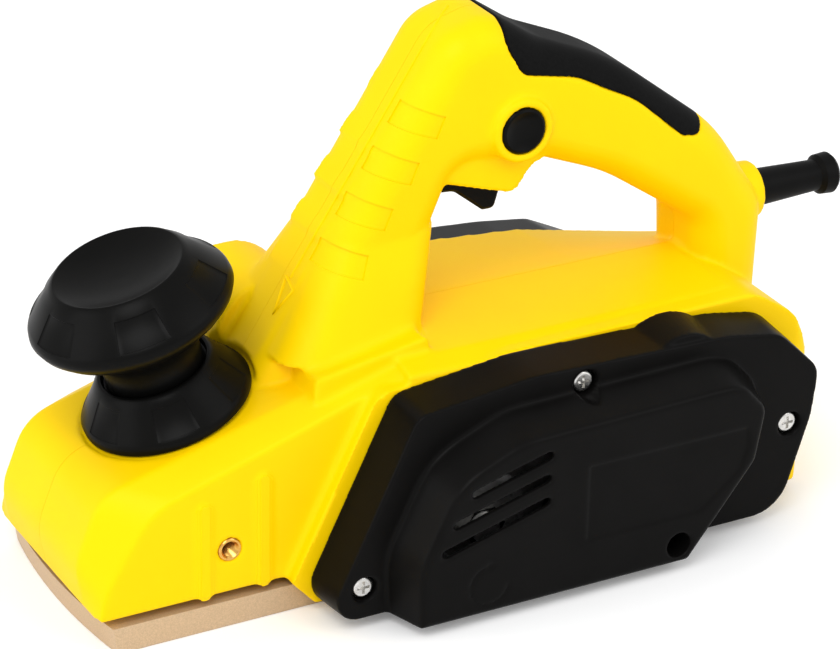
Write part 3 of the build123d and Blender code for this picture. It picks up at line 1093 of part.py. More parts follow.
with BuildPart() as clamp_screws:
    for z in CLAMP_ZS:
        ring_between(CLAMP_X, z, TAP_R, 0, CLAMP_Y0, 12)
        ring_between(CLAMP_X, z, 2.8, 0, CLAMP_Y0 - 2, CLAMP_Y0)
clamp_screws.part.label = "clamp_screws"
export_step(clamp_screws.part, "parts/clamp_screws.step")
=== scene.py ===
"""An electric hand planer: yellow moulded shells, black covers, grip and depth knob, cast soles."""

from math import cos, pi, radians, sin

import bpy
from mathutils import Matrix, Vector


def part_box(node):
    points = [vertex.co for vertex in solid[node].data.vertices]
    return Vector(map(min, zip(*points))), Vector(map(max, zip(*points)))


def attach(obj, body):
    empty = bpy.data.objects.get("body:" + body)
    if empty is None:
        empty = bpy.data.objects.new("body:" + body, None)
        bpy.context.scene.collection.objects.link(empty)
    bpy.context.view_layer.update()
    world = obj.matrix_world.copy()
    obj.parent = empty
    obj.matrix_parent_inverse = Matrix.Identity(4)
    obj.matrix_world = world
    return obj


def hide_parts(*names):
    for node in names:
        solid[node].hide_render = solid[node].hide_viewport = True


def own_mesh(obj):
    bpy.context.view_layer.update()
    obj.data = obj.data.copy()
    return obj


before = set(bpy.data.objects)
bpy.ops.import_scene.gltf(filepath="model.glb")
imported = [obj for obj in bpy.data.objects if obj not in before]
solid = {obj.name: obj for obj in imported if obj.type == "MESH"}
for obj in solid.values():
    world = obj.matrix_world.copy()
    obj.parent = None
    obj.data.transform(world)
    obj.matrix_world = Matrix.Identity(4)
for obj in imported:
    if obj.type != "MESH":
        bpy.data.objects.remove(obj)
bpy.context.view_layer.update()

MM = 0.001
HANDLE_HALF = 19.0          # half the width of the handle's loop
NOSE_HALF = 41.0            # half the width of the nose
KNOB_LEAN = radians(18)     # the knob leans to the toe
KNOB_FOOT = Vector((-159.4, 0, 61.6)) * MM
WELD = 0.00001              # corners nearer than this (metres) become one
MOULDING_CREASE = radians(50)   # on mouldings only edges sharper than this stay crisp
TURNING_CREASE = radians(40)    # the same for turned pieces


# ------------------------------------------------------------------ shop tools
def alone(piece):
    """Only this piece is selected and worked on."""
    bpy.ops.object.select_all(action="DESELECT")
    piece.select_set(True)
    bpy.context.view_layer.objects.active = piece


def worked(piece, kind, **settings):
    """One modifier, set and applied."""
    alone(piece)
    step = piece.modifiers.new(kind.title(), kind)
    for name, value in settings.items():
        setattr(step, name, value)
    bpy.ops.object.modifier_apply(modifier=step.name)


def copy_of(piece, name):
    """A second piece of the same shape."""
    twin = bpy.data.objects.new(name, piece.data.copy())
    bpy.context.scene.collection.objects.link(twin)
    return twin


def welded(name, *nodes):
    """A copy of plain solids, joined and welded, to work the finished piece from."""
    bpy.ops.object.select_all(action="DESELECT")
    for node in nodes:
        blank = copy_of(solid[node], name)
        blank.select_set(True)
        bpy.context.view_layer.objects.active = blank
    if len(nodes) > 1:
        bpy.ops.object.join()
    piece = bpy.context.view_layer.objects.active
    bpy.ops.object.mode_set(mode="EDIT")
    bpy.ops.mesh.select_all(action="SELECT")
    bpy.ops.mesh.remove_doubles(threshold=WELD)
    bpy.ops.object.mode_set(mode="OBJECT")
    piece.name = name
    return piece


def slab(name, outline, y0, y1):
    """A plate with this outline in the side view (x, z in mm), from y0 to y1."""
    bpy.ops.object.select_all(action="DESELECT")
    bpy.ops.mesh.primitive_circle_add(vertices=len(outline), fill_type="NGON")
    piece = bpy.context.active_object
    piece.name = name
    for corner, (x, z) in zip(piece.data.vertices, outline):
        corner.co = Vector((x, y0, z)) * MM
    bpy.ops.object.mode_set(mode="EDIT")
    bpy.ops.mesh.select_all(action="SELECT")
    bpy.ops.mesh.extrude_region_move(TRANSFORM_OT_translate={"value": (0, (y1 - y0) * MM, 0)})
    bpy.ops.mesh.select_all(action="SELECT")
    bpy.ops.mesh.normals_make_consistent(inside=False)
    bpy.ops.object.mode_set(mode="OBJECT")
    return piece


def rounded(piece, width, sharper_than=25):
    """Every edge sharper than this angle (degrees) is taken off by this width (mm)."""
    worked(piece, "BEVEL", width=width * MM, segments=2, limit_method="ANGLE", angle_limit=radians(sharper_than))
    return piece


def together(piece, *others):
    """Other pieces become part of this one."""
    bpy.ops.object.select_all(action="DESELECT")
    for other in others:
        other.select_set(True)
    piece.select_set(True)
    bpy.context.view_layer.objects.active = piece
    bpy.ops.object.join()
    return piece


def cut(piece, *tools):
    """The tools' shapes taken out of the piece."""
    for tool in tools:
        worked(piece, "BOOLEAN", operation="DIFFERENCE", solver="EXACT", object=tool)
        bpy.data.objects.remove(tool)
    return piece


def moulded(piece, grain, passes, keep):
    """A plain solid made one smooth moulding: edges and meeting faces flow together.

    The grain is the size of its facets in mm, and keep the share of them that stays.
    """
    worked(piece, "REMESH", mode="VOXEL", voxel_size=grain * MM, use_smooth_shade=True)
    worked(piece, "SMOOTH", factor=0.5, iterations=passes)
    if keep < 1:
        worked(piece, "DECIMATE", decimate_type="COLLAPSE", ratio=keep)
    alone(piece)
    bpy.ops.object.shade_smooth()
    return piece


def bead(name, points, radius):
    """A fine raised line through these points (metres), its radius in mm."""
    line = bpy.data.curves.new(name, "CURVE")
    line.dimensions = "3D"
    line.bevel_depth = radius * MM
    line.bevel_resolution = 2
    line.use_fill_caps = True
    run = line.splines.new("POLY")
    run.points.add(len(points) - 1)
    for knot, place in zip(run.points, points):
        knot.co = (*place, 1)
    piece = bpy.data.objects.new(name, line)
    bpy.context.scene.collection.objects.link(piece)
    alone(piece)
    bpy.ops.object.convert(target="MESH")
    return bpy.context.active_object


def touch(piece, start, toward):
    """Where a straight line from start first meets the piece."""
    return piece.ray_cast(start, toward)[1]


def turned(name, rings, sides):
    """A round piece built up ring by ring about Z: each ring is a radius and a height in mm."""
    radius, height = rings[0]
    bpy.ops.object.select_all(action="DESELECT")
    bpy.ops.mesh.primitive_circle_add(vertices=sides, radius=radius * MM, location=(0, 0, height * MM),
                                      fill_type="NGON")
    piece = bpy.context.active_object
    piece.name = name
    bpy.ops.object.transform_apply(location=True)
    bpy.ops.object.mode_set(mode="EDIT")
    bpy.ops.mesh.select_all(action="SELECT")
    for wider, higher in rings[1:]:
        bpy.ops.mesh.extrude_region_move(TRANSFORM_OT_translate={"value": (0, 0, (higher - height) * MM)})
        bpy.ops.transform.resize(value=(wider / radius, wider / radius, 1))
        radius, height = wider, higher
    bpy.ops.mesh.select_all(action="SELECT")
    bpy.ops.mesh.normals_make_consistent(inside=False)
    bpy.ops.object.mode_set(mode="OBJECT")
    return piece


def stepped(piece, low, high, count, depth):
    """Between two heights (mm) the band is parted in pairs of sectors, and one of each pair is sunk."""
    alone(piece)
    bpy.ops.object.mode_set(mode="EDIT")
    bpy.ops.mesh.select_mode(type="FACE")
    bpy.ops.mesh.select_all(action="DESELECT")
    bpy.ops.object.mode_set(mode="OBJECT")
    for face in piece.data.polygons:
        share = (face.center.to_2d().angle_signed(Vector((1, 0)), 0) / (2 * pi) * count) % 1
        face.select = low * MM < face.center.z < high * MM and share < 0.5
    bpy.ops.object.mode_set(mode="EDIT")
    bpy.ops.mesh.extrude_region_shrink_fatten(TRANSFORM_OT_shrink_fatten={"value": -depth * MM})
    bpy.ops.object.mode_set(mode="OBJECT")
    return piece


def placed(piece, where, turn):
    """The piece is turned and set in its place, and the place kept in its mesh."""
    alone(piece)
    piece.rotation_euler = turn
    piece.location = where
    bpy.ops.object.transform_apply(location=True, rotation=True)
    bpy.ops.object.shade_smooth_by_angle(angle=TURNING_CREASE)
    return piece


# ------------------------------------------------------------------ finishes
def ramp(nodes, low, first, high, second):
    """A blend from one shade to another between two levels."""
    shades = nodes.new("ShaderNodeValToRGB")
    for stop, level, shade in zip(shades.color_ramp.elements, (low, high), (first, second)):
        stop.position = level
        stop.color = (*shade, 1)
    return shades


def noise(nodes, scale, detail):
    """Soft random patches."""
    patches = nodes.new("ShaderNodeTexNoise")
    patches.inputs["Scale"].default_value = scale
    patches.inputs["Detail"].default_value = detail
    return patches


def finish(name, light, dark, patch, rough, rough_span=0.06, grain=0, relief=0.0, stretch=(1, 1, 1),
           **shader):
    """A surface that drifts between two shades, its gloss a little uneven, with a fine grain.

    Patch and grain say how fine the two patterns are, and relief is the grain's height in mm.
    """
    stuff = bpy.data.materials.new(name)
    stuff.use_nodes = True
    nodes, link = stuff.node_tree.nodes, stuff.node_tree.links.new
    body = nodes["Principled BSDF"]
    for socket, value in shader.items():
        body.inputs[socket.replace("_", " ")].default_value = value
    where = nodes.new("ShaderNodeTexCoord")
    spread = nodes.new("ShaderNodeMapping")
    spread.inputs["Scale"].default_value = stretch
    link(where.outputs["Object"], spread.inputs["Vector"])
    drift = noise(nodes, patch, 4)
    link(spread.outputs["Vector"], drift.inputs["Vector"])
    shades = ramp(nodes, 0.3, dark, 0.7, light)
    link(drift.outputs["Fac"], shades.inputs["Fac"])
    link(shades.outputs["Color"], body.inputs["Base Color"])
    gloss = nodes.new("ShaderNodeMapRange")
    gloss.inputs["To Min"].default_value = rough - rough_span / 2
    gloss.inputs["To Max"].default_value = rough + rough_span / 2
    link(drift.outputs["Fac"], gloss.inputs["Value"])
    link(gloss.outputs["Result"], body.inputs["Roughness"])
    if grain:
        fine = noise(nodes, grain, 2)
        link(spread.outputs["Vector"], fine.inputs["Vector"])
        bumps = nodes.new("ShaderNodeBump")
        bumps.inputs["Strength"].default_value = 1.0
        bumps.inputs["Distance"].default_value = relief * MM
        link(fine.outputs["Fac"], bumps.inputs["Height"])
        link(bumps.outputs["Normal"], body.inputs["Normal"])
    return stuff


def banded(stuff, coordinate, scale, first, second, sharp=0.5):
    """Fine stripes laid over a finish: laminations, turns of wire, bars. Sharp is the width of the blend."""
    nodes, link = stuff.node_tree.nodes, stuff.node_tree.links.new
    bands = nodes.new("ShaderNodeTexWave")
    bands.wave_type = "BANDS"
    bands.bands_direction = coordinate
    bands.inputs["Scale"].default_value = scale
    link(nodes["Texture Coordinate"].outputs["Object"], bands.inputs["Vector"])
    shades = ramp(nodes, 0.5 - sharp / 2, first, 0.5 + sharp / 2, second)
    link(bands.outputs["Fac"], shades.inputs["Fac"])
    link(shades.outputs["Color"], nodes["Principled BSDF"].inputs["Base Color"])
    return stuff


shell_yellow = finish("shell yellow", (1.0, 0.665, 0.0), (1.0, 0.64, 0.0), 40, 0.46, 0.05, grain=1500, relief=0.01,
                      Specular_IOR_Level=0.08)
cover_black = finish("cover black", (0.0045, 0.0042, 0.004), (0.0034, 0.0032, 0.003), 60, 0.36, 0.08,
                     grain=1800, relief=0.02, Specular_IOR_Level=0.055)
knob_black = finish("knob black", (0.0038, 0.0037, 0.0035), (0.003, 0.003, 0.0028), 60, 0.33, 0.06,
                    grain=2200, relief=0.008, Specular_IOR_Level=0.06)
grip_rubber = finish("grip rubber", (0.0055, 0.0055, 0.0055), (0.003, 0.003, 0.003), 900, 0.58, 0.1,
                     grain=1300, relief=0.05, Specular_IOR_Level=0.05)
soft_black = finish("soft black", (0.0045, 0.0045, 0.0045), (0.0034, 0.0034, 0.0034), 120, 0.44, 0.08,
                    grain=1600, relief=0.015, Specular_IOR_Level=0.06)
sole_grey = finish("cast sole grey", (0.66, 0.48, 0.30), (0.52, 0.375, 0.235), 2400, 0.46, 0.12,
                   grain=2200, relief=0.015, Metallic=0.35)
zinc = finish("bright zinc", (0.80, 0.79, 0.77), (0.60, 0.59, 0.57), 500, 0.24, 0.1, grain=900, relief=0.01,
              Metallic=1.0)
ground_steel = finish("ground steel", (0.62, 0.62, 0.61), (0.48, 0.48, 0.47), 300, 0.28, 0.1,
                      grain=700, relief=0.008, stretch=(6, 0.3, 6), Metallic=1.0)
blade_steel = finish("blade steel", (0.70, 0.71, 0.72), (0.56, 0.57, 0.58), 260, 0.2, 0.08,
                     grain=900, relief=0.006, stretch=(0.4, 4, 4), Metallic=1.0)
spring_steel = finish("spring steel", (0.42, 0.42, 0.42), (0.30, 0.30, 0.30), 800, 0.32, 0.1, Metallic=1.0)
black_oxide = finish("black oxide", (0.05, 0.05, 0.052), (0.03, 0.03, 0.032), 600, 0.4, 0.1, Metallic=0.8)
brass = finish("turned brass", (0.86, 0.50, 0.13), (0.68, 0.36, 0.08), 600, 0.26, 0.1, grain=1500, relief=0.01,
               Metallic=1.0)
die_cast = finish("die-cast alloy", (0.52, 0.52, 0.51), (0.40, 0.40, 0.39), 350, 0.45, 0.12, grain=900, relief=0.03,
                  Metallic=0.8)
drum_alloy = finish("drum alloy", (0.60, 0.60, 0.59), (0.47, 0.47, 0.46), 240, 0.33, 0.1,
                    grain=900, relief=0.01, stretch=(1, 8, 1), Metallic=0.9)
sheet_core = banded(finish("core sheets", (0.3, 0.3, 0.3), (0.2, 0.2, 0.2), 300, 0.42, Metallic=0.8),
                    "Y", 320, (0.10, 0.10, 0.105), (0.30, 0.30, 0.30))
armature_copper = banded(finish("armature windings", (0.5, 0.2, 0.06), (0.4, 0.15, 0.04), 500, 0.35, Metallic=0.7),
                         "DIAGONAL", 210, (0.24, 0.075, 0.02), (0.62, 0.25, 0.08))
field_copper = banded(finish("field windings", (0.5, 0.2, 0.06), (0.4, 0.15, 0.04), 500, 0.35, Metallic=0.7),
                      "Y", 260, (0.26, 0.085, 0.02), (0.66, 0.28, 0.09))
bar_copper = banded(finish("commutator bars", (0.6, 0.3, 0.12), (0.5, 0.24, 0.1), 500, 0.25, Metallic=1.0),
                    "Z", 150, (0.30, 0.13, 0.05), (0.78, 0.40, 0.18), sharp=0.2)
fan_nylon = finish("fan nylon", (0.035, 0.037, 0.04), (0.02, 0.021, 0.024), 200, 0.4, grain=900, relief=0.01)
holder_resin = finish("holder resin", (0.09, 0.035, 0.015), (0.06, 0.022, 0.01), 300, 0.5, grain=900, relief=0.01)
graphite = finish("brush graphite", (0.045, 0.045, 0.05), (0.025, 0.025, 0.028), 900, 0.55, grain=1500, relief=0.02)
belt_rubber = banded(finish("belt rubber", (0.02, 0.02, 0.02), (0.012, 0.012, 0.012), 500, 0.6),
                     "Y", 110, (0.008, 0.008, 0.008), (0.03, 0.03, 0.03))
film_box = finish("capacitor film", (0.60, 0.36, 0.02), (0.50, 0.29, 0.015), 200, 0.35, grain=600, relief=0.006)

FINISHES = {
    shell_yellow: ("left_housing", "right_housing"),
    cover_black: ("belt_cover", "motor_cover"),
    knob_black: ("front_knob", "depth_dial", "lock_button"),
    grip_rubber: ("handle_grip",),
    soft_black: ("trigger", "switch_body", "cord_guard", "cord_clamp"),
    sole_grey: ("front_shoe", "rear_sole"),
    zinc: ("housing_screws", "sole_screws", "belt_cover_screws", "motor_cover_screws", "plate_screws", "clamp_screws",
           "shoe_nut", "knob_spindle", "drum_nut"),
    ground_steel: ("armature_shaft", "drum_bearing_left", "drum_bearing_right", "motor_bearing_left",
                   "motor_bearing_right", "motor_pulley", "blade_clamps"),
    blade_steel: ("cutter_blades",),
    spring_steel: ("shoe_spring", "trigger_spring", "lock_spring", "brush_springs"),
    black_oxide: ("blade_screws",),
    brass: ("guide_inserts",),
    die_cast: ("bearing_plate", "drum_pulley"),
    drum_alloy: ("cutter_drum",),
    sheet_core: ("armature_core", "stator_core"),
    armature_copper: ("armature_windings",),
    field_copper: ("field_coils",),
    bar_copper: ("commutator",),
    fan_nylon: ("motor_fan",),
    holder_resin: ("brush_holders",),
    graphite: ("carbon_brushes",),
    belt_rubber: ("drive_belt",),
    film_box: ("capacitor",),
}
for stuff, nodes_of_it in FINISHES.items():
    for node in nodes_of_it:
        for slot in solid[node].material_slots:
            slot.material = stuff


def dressed(piece, stuff, body, *nodes):
    """The finished piece gets its finish, moves with its body and stands for these nodes."""
    piece.data.materials.clear()
    piece.data.materials.append(stuff)
    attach(piece, body)
    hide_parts(*nodes)


# ------------------------------------------------------------------ yellow shells
# All outlines are in the side view: x towards the heel and z up, in mm.
HEEL_CUT = [(59.8, 2), (64, 2), (64, 62), (62.5, 62)]
HEEL_CUT_HALF = 60          # wider than the tool on both sides

PLINTH = [(-125.5, 60), (-124.0, 77.6), (-83.8, 84.4), (-82.2, 77.5), (-82.0, 60)]
PLINTH_HALF = 35.5
PLINTH_ROUND = 0.9
LEG_FOOT = ((-122, -31, 77), (-78, 31, 96))     # where the leg flares into the plinth
LEG_FOOT_RUBS = 12

PANEL_PLACES = [(-79.5, 151.6), (-88.7, 137.4), (-97.9, 123.2), (-107.1, 109.0)]
PANEL_SHAPE = [(-7.4, 6.6), (9.6, 0.4), (6.6, -6.8), (-12.4, -0.4)]
PANEL_REACH = (-HANDLE_HALF - 8, -8.0)          # from outside the leg to inside it, along y
PANEL_DEPTH = 0.55

LEG_PADS = [((-77.8, 159.6), (-81.6, 152.8)), ((-86.8, 145.9), (-91.3, 139.6)), ((-96.2, 132.0), (-100.5, 125.6)),
            ((-105.1, 118.6), (-109.2, 112.0)), ((-113.4, 105.4), (-117.0, 99.4))]
PAD_ROOT = 3.0              # how deep each bar is rooted in the leg
PAD_CREST = (3, 0.4)        # along the leg from its top, and out of it
PAD_HEEL = (0.9, 0.65)      # along the leg beyond its low end, and out of it
PAD_SPAN = (-9.5, 13.0)     # along y
PAD_ROUND = 0.5

LINE_TOP, LINE_FOOT = Vector((-70.9, 182.0)), Vector((-124.2, 100.5))
LINE_STEPS = 24
LINE_RADIUS = 0.55
LINE_SIDE = -12             # its points are looked for through this y
ARROW_HEAD = ((-126.6, 100.4), (-121.8, 97.4), (-125.6, 93.8), (-129.6, 89.6), (-128.3, 94.6), (-126.6, 100.4))

NOSE_RIBS = ((-166.0, 46.0), (-145.2, 52.0))    # the x of each, and its top
RIB_STEPS = ((3.0, 0.45), (1.7, 1.0))           # half the width of each step, and how proud it stands
RIB_FOOT = 12.9
RIB_SHOULDER = 1.2
RIB_ROUND = 0.25

PARTING = 0.08              # each shell stops this short of the middle


def leg_pads():
    """Bars across the front of the leg, each steep at its lower end."""
    pads = []
    for (x0, z0), (x1, z1) in LEG_PADS:
        top, low = Vector((x0, z0)), Vector((x1, z1))
        along = Vector((x1 - x0, z1 - z0)).normalized()
        out = Vector((along.y, -along.x))
        inner = -PAD_ROOT * out
        outline = [top + inner, top, top + along * PAD_CREST[0] + out * PAD_CREST[1],
                   low + out * PAD_HEEL[1], low + along * PAD_HEEL[0], low + inner]
        pads.append(rounded(slab("pad", [tuple(p) for p in outline], *PAD_SPAN), PAD_ROUND))
    return pads


def heel_taper():
    """What is taken off the heel, so that it leans in a little towards the sole."""
    return slab("heel", HEEL_CUT, -HEEL_CUT_HALF, HEEL_CUT_HALF)


def leg_plinth():
    """The low block the leg stands on, its top level with the leg's flare."""
    return rounded(slab("plinth", PLINTH, -PLINTH_HALF, PLINTH_HALF), PLINTH_ROUND)


def leg_line(shell):
    """The raised line down the leg's corner, ending in an arrow head."""
    toward = Vector((0.62, 0.75, -0.12)).normalized()

    def on_leg(x, z):
        return touch(shell, Vector((x, LINE_SIDE, z)) * MM - toward * 0.06, toward)

    shaft = [on_leg(*LINE_TOP.lerp(LINE_FOOT, i / LINE_STEPS)) for i in range(LINE_STEPS + 1)]
    head = [on_leg(*corner) for corner in ARROW_HEAD]
    return [bead("line", run, LINE_RADIUS) for run in (shaft, head)]


def nose_ribs(sign):
    """Two-step ribs on the flank of the nose."""
    ribs = []
    for x, top in NOSE_RIBS:
        shoulder = top - RIB_SHOULDER
        for half, proud in RIB_STEPS:
            outline = [(x - half, RIB_FOOT), (x + half, RIB_FOOT), (x + half, shoulder),
                       (x + half * 0.5, top), (x - half * 0.5, top), (x - half, shoulder)]
            y0, y1 = sorted((sign * (NOSE_HALF - 1), sign * (NOSE_HALF + proud)))
            ribs.append(rounded(slab("rib", outline, y0, y1), RIB_ROUND))
    return ribs


def eased(piece, box, repeat):
    """The surface inside this box (mm) is rubbed smooth."""
    low, high = Vector(box[0]) * MM, Vector(box[1]) * MM
    alone(piece)
    for corner in piece.data.vertices:
        corner.select = all(low[i] < corner.co[i] < high[i] for i in range(3))
    bpy.ops.object.mode_set(mode="EDIT")
    bpy.ops.mesh.select_mode(type="VERT")
    bpy.ops.mesh.vertices_smooth(factor=0.5, repeat=repeat)
    bpy.ops.object.mode_set(mode="OBJECT")


def parted(whole, name, sign):
    """One half of the moulding, cut a hair beside the parting plane."""
    half = copy_of(whole, name)
    alone(half)
    bpy.ops.object.mode_set(mode="EDIT")
    bpy.ops.mesh.select_all(action="SELECT")
    bpy.ops.mesh.bisect(plane_co=(0, sign * PARTING * MM, 0), plane_no=(0, 1, 0), use_fill=True,
                        clear_inner=sign > 0, clear_outer=sign < 0, threshold=WELD)
    bpy.ops.object.mode_set(mode="OBJECT")
    bpy.ops.object.shade_smooth_by_angle(angle=MOULDING_CREASE)
    return half


def panel_blocks():
    """Blocks the size of the leg's panels, standing into its near side."""
    return together(*[slab("panel", [(x + dx, z + dz) for dx, dz in PANEL_SHAPE], *PANEL_REACH)
                      for x, z in PANEL_PLACES])


def panelled(half):
    """Four shallow panels let into the near side of the leg: inside each, the skin lies a little deeper."""
    floor = copy_of(half, "panel floors")
    worked(floor, "DISPLACE", strength=-PANEL_DEPTH * MM, mid_level=0)
    blocks = panel_blocks()
    worked(floor, "BOOLEAN", operation="INTERSECT", solver="EXACT", object=blocks)
    bpy.data.objects.remove(blocks)
    together(cut(half, panel_blocks()), floor)
    alone(half)
    bpy.ops.object.shade_smooth_by_angle(angle=MOULDING_CREASE)


def yellow_shells():
    """Both shells worked as one moulding, so that the surface runs on over the joint, then parted again."""
    shell = together(*[cut(welded("shell", node), heel_taper()) for node in ("left_housing", "right_housing")])
    together(shell, *leg_pads(), leg_plinth())
    moulded(shell, grain=0.9, passes=2, keep=0.5)
    eased(shell, LEG_FOOT, LEG_FOOT_RUBS)
    line = leg_line(shell)
    for node, sign in (("left_housing", -1), ("right_housing", 1)):
        half = parted(shell, node + "_moulding", sign)
        if sign < 0:
            panelled(half)
            together(half, *line)
        together(half, *nose_ribs(sign))
        dressed(half, shell_yellow, "body", node)
    bpy.data.objects.remove(shell)


yellow_shells()


# ------------------------------------------------------------------ covers and grip
def covers():
    """The side covers and the soft grip, their edges flowing as moulded ones do."""
    for name, node, grain, passes, keep, stuff in (
            ("belt_cover_moulding", "belt_cover", 0.55, 9, 0.5, cover_black),
            ("motor_cover_moulding", "motor_cover", 0.8, 3, 0.7, cover_black),
            ("grip_moulding", "handle_grip", 0.6, 3, 0.8, grip_rubber)):
        dressed(moulded(welded(name, node), grain, passes, keep), stuff, "body", node)


covers()


# ------------------------------------------------------------------ knob, dial, button, inserts and springs
CAP = [(16.4, 14.3), (16.3, 20), (16.8, 23.4), (18.4, 26.4), (21.8, 29.4), (26.3, 32.4), (30.4, 35.2), (32.9, 37.8),
       (33.9, 40.0), (33.6, 41.7), (32.7, 43.3), (25.6, 50.9), (23.2, 53.1), (22.2, 54.1), (21.4, 54.5), (20.6, 54.2),
       (18, 52.9), (12, 51.2), (6, 50.4), (0.05, 50.2)]
DIAL = [(27.5, 0.2), (28.3, 1.0), (28.4, 3.0), (27.4, 4.6), (21.2, 13.1), (19.6, 15.4), (18.7, 16.1), (17.8, 16.1),
        (17.3, 15.4), (17.2, 14.3), (4.2, 14.25)]
KNOB_NOTCHES = 6
BUTTON = [(7.9, 0), (7.9, 8.1), (7.5, 8.7), (6.9, 8.95), (6.2, 8.7), (5.0, 8.1), (3, 7.7), (0.05, 7.6)]

INSERT_RIM = [(3.95, 0.2), (3.95, 10.7), (3.7, 10.95), (3.1, 10.95)]
INSERT_PLACE = Vector((-157.1, 30, 27.6))       # the one on the far side
THREAD_BORE, THREAD_DEPTH = 2.5, 0.38
THREAD_TOP, THREAD_STEP, THREAD_RINGS = 10.2, 0.4, 20


def depth_knob():
    """The cap over its dial, both leaning to the toe, each with shallow notches round it."""
    for name, rings, low, high, depth, edge, node in (
            ("knob_cap", CAP, 44, 50, 0.3, 0.3, "front_knob"),
            ("knob_skirt", DIAL, 6, 12, 0.18, 0.25, "depth_dial")):
        piece = rounded(stepped(turned(name, rings, 120), low, high, KNOB_NOTCHES, depth), edge, 35)
        dressed(placed(piece, KNOB_FOOT, (0, -KNOB_LEAN, 0)), knob_black, "knob", node)


def small_turnings():
    """The lock button with its dished face, and the threaded brass inserts."""
    low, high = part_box("lock_button")
    middle = (low + high) / 2
    button = turned("button", BUTTON, 64)
    dressed(placed(button, (middle.x, high.y, middle.z), (pi / 2, 0, 0)), knob_black, "lock_button", "lock_button")
    thread = [(THREAD_BORE + THREAD_DEPTH * (i % 2), THREAD_TOP - THREAD_STEP * i) for i in range(THREAD_RINGS)]
    x, y, z = INSERT_PLACE
    inserts = [placed(turned("insert", INSERT_RIM + thread, 48), Vector((x, side * y, z)) * MM, (-side * pi / 2, 0, 0))
               for side in (-1, 1)]
    dressed(together(*inserts), brass, "body", "guide_inserts")


def springs():
    """Each return spring becomes a welded copy of its coil in spring steel, with a mesh of its own, held on the body.
    """
    lean = Vector((-sin(KNOB_LEAN), 0, cos(KNOB_LEAN)))
    for node, joint, axis, travel in (("shoe_spring", "shoe_slide", lean, 2.5),
                                      ("trigger_spring", "trigger_press", Vector((0, 0, 1)), 4.5),
                                      ("lock_spring", "lock_button_press", Vector((0, 1, 0)), 3.0)):
        coil = welded(node + "_wire", node)
        dressed(coil, spring_steel, "body", node)
        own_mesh(coil)


depth_knob()
small_turnings()
springs()


# ------------------------------------------------------------------ studio
PAPER_WHITE = 0.93
PAPER_LIFT = 0.14           # light of its own, for the camera only
ROOM_LIGHT, ROOM_SEEN = 0.82, 1.0               # the room as a light, and as the camera sees it
LAMP_AIM = Vector((-60, 0, 80)) * MM
LAMPS = (("key", (-0.9, -0.9, 1.5), 0.9, 13), ("fill", (0.9, -1.2, 1.1), 1.2, 6.5),
         ("side", (-1.7, 0.1, 0.6), 1.0, 6))    # place (metres), size (metres) and power (watts)

CAMERA_TURN, CAMERA_RISE, CAMERA_ROLL = radians(-28.99), radians(26.12), radians(1.19)
CAMERA_AIM = Vector((-0.06736, 0, 0.06973))
CAMERA_BACK = 1.1624        # metres from the aim
LENS, SENSOR = 150, 36


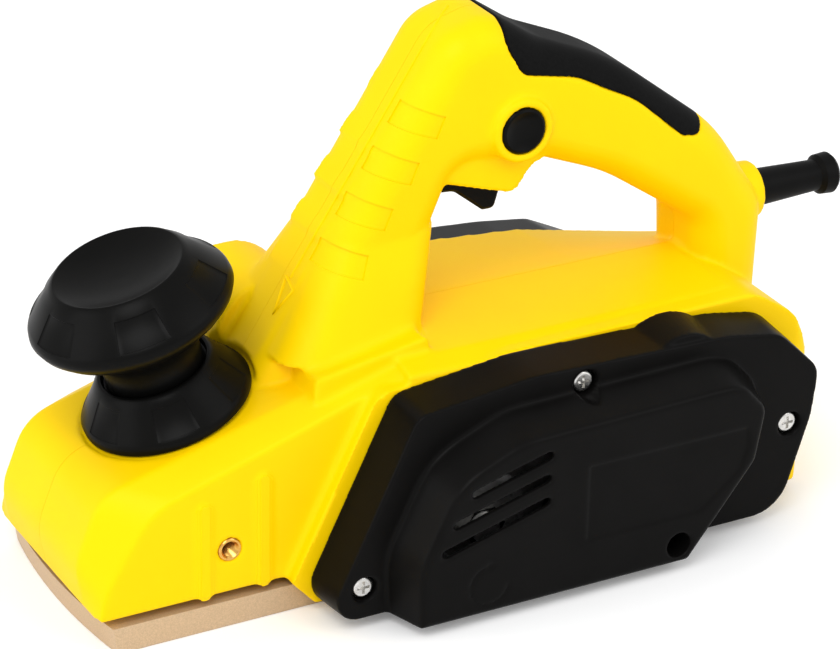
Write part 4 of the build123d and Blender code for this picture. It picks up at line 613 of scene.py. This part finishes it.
def white_floor():
    """Paper just under the lowest piece, a touch lighter to the camera than its lamps make it."""
    low = min(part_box(node)[0].z for node in ("rear_sole", "front_shoe", "cutter_blades"))
    bpy.ops.object.select_all(action="DESELECT")
    bpy.ops.mesh.primitive_plane_add(size=40, location=(0, 0, low - 0.0002))
    floor = bpy.context.active_object
    floor.name = "floor"
    paper = bpy.data.materials.new("white paper")
    paper.use_nodes = True
    nodes, link = paper.node_tree.nodes, paper.node_tree.links.new
    nodes.remove(nodes["Principled BSDF"])
    matt = nodes.new("ShaderNodeBsdfDiffuse")
    matt.inputs["Color"].default_value = (PAPER_WHITE, PAPER_WHITE, PAPER_WHITE, 1)
    lift = nodes.new("ShaderNodeEmission")
    seen = nodes.new("ShaderNodeLightPath")
    level = nodes.new("ShaderNodeMath")
    level.operation = "MULTIPLY"
    level.inputs[1].default_value = PAPER_LIFT
    link(seen.outputs["Is Camera Ray"], level.inputs[0])
    link(level.outputs[0], lift.inputs["Strength"])
    both = nodes.new("ShaderNodeAddShader")
    link(matt.outputs[0], both.inputs[0])
    link(lift.outputs[0], both.inputs[1])
    link(both.outputs[0], nodes["Material Output"].inputs["Surface"])
    floor.data.materials.append(paper)


def even_room():
    """Soft light from everywhere."""
    room = bpy.data.worlds.new("even room")
    bpy.context.scene.world = room
    room.use_nodes = True
    nodes, link = room.node_tree.nodes, room.node_tree.links.new
    seen = nodes.new("ShaderNodeLightPath")
    level = nodes.new("ShaderNodeMapRange")
    level.inputs["To Min"].default_value = ROOM_LIGHT
    level.inputs["To Max"].default_value = ROOM_SEEN
    link(seen.outputs["Is Camera Ray"], level.inputs["Value"])
    link(level.outputs["Result"], nodes["Background"].inputs["Strength"])
    nodes["Background"].inputs["Color"].default_value = (1, 1, 1, 1)


def lamps():
    """Three square lamps turned to the tool."""
    for name, place, size, power in LAMPS:
        lamp = bpy.data.lights.new(name, "AREA")
        lamp.shape = "SQUARE"
        lamp.size = size
        lamp.energy = power
        holder = bpy.data.objects.new(name, lamp)
        holder.location = place
        holder.rotation_euler = (Vector(place) - LAMP_AIM).to_track_quat("Z", "Y").to_euler()
        bpy.context.scene.collection.objects.link(holder)


def camera():
    """A long lens in front of the belt side, well above the sole."""
    turn, rise, roll = CAMERA_TURN, CAMERA_RISE, CAMERA_ROLL
    back = Vector((sin(turn) * cos(rise), -cos(turn) * cos(rise), sin(rise)))
    right = Vector((cos(turn), sin(turn), 0))
    up = right.cross(-back)
    rolled = right * cos(roll) + up * sin(roll)
    upright = up * cos(roll) - right * sin(roll)
    place = CAMERA_AIM + back * CAMERA_BACK
    eye = bpy.data.cameras.new("camera")
    eye.lens = LENS
    eye.sensor_width = SENSOR
    holder = bpy.data.objects.new("camera", eye)
    holder.matrix_world = Matrix((
        (rolled.x, upright.x, back.x, place.x),
        (rolled.y, upright.y, back.y, place.y),
        (rolled.z, upright.z, back.z, place.z),
        (0, 0, 0, 1),
    ))
    bpy.context.scene.collection.objects.link(holder)
    bpy.context.scene.camera = holder


white_floor()
even_room()
lamps()
camera()
bpy.context.scene.view_settings.view_transform = "Standard"
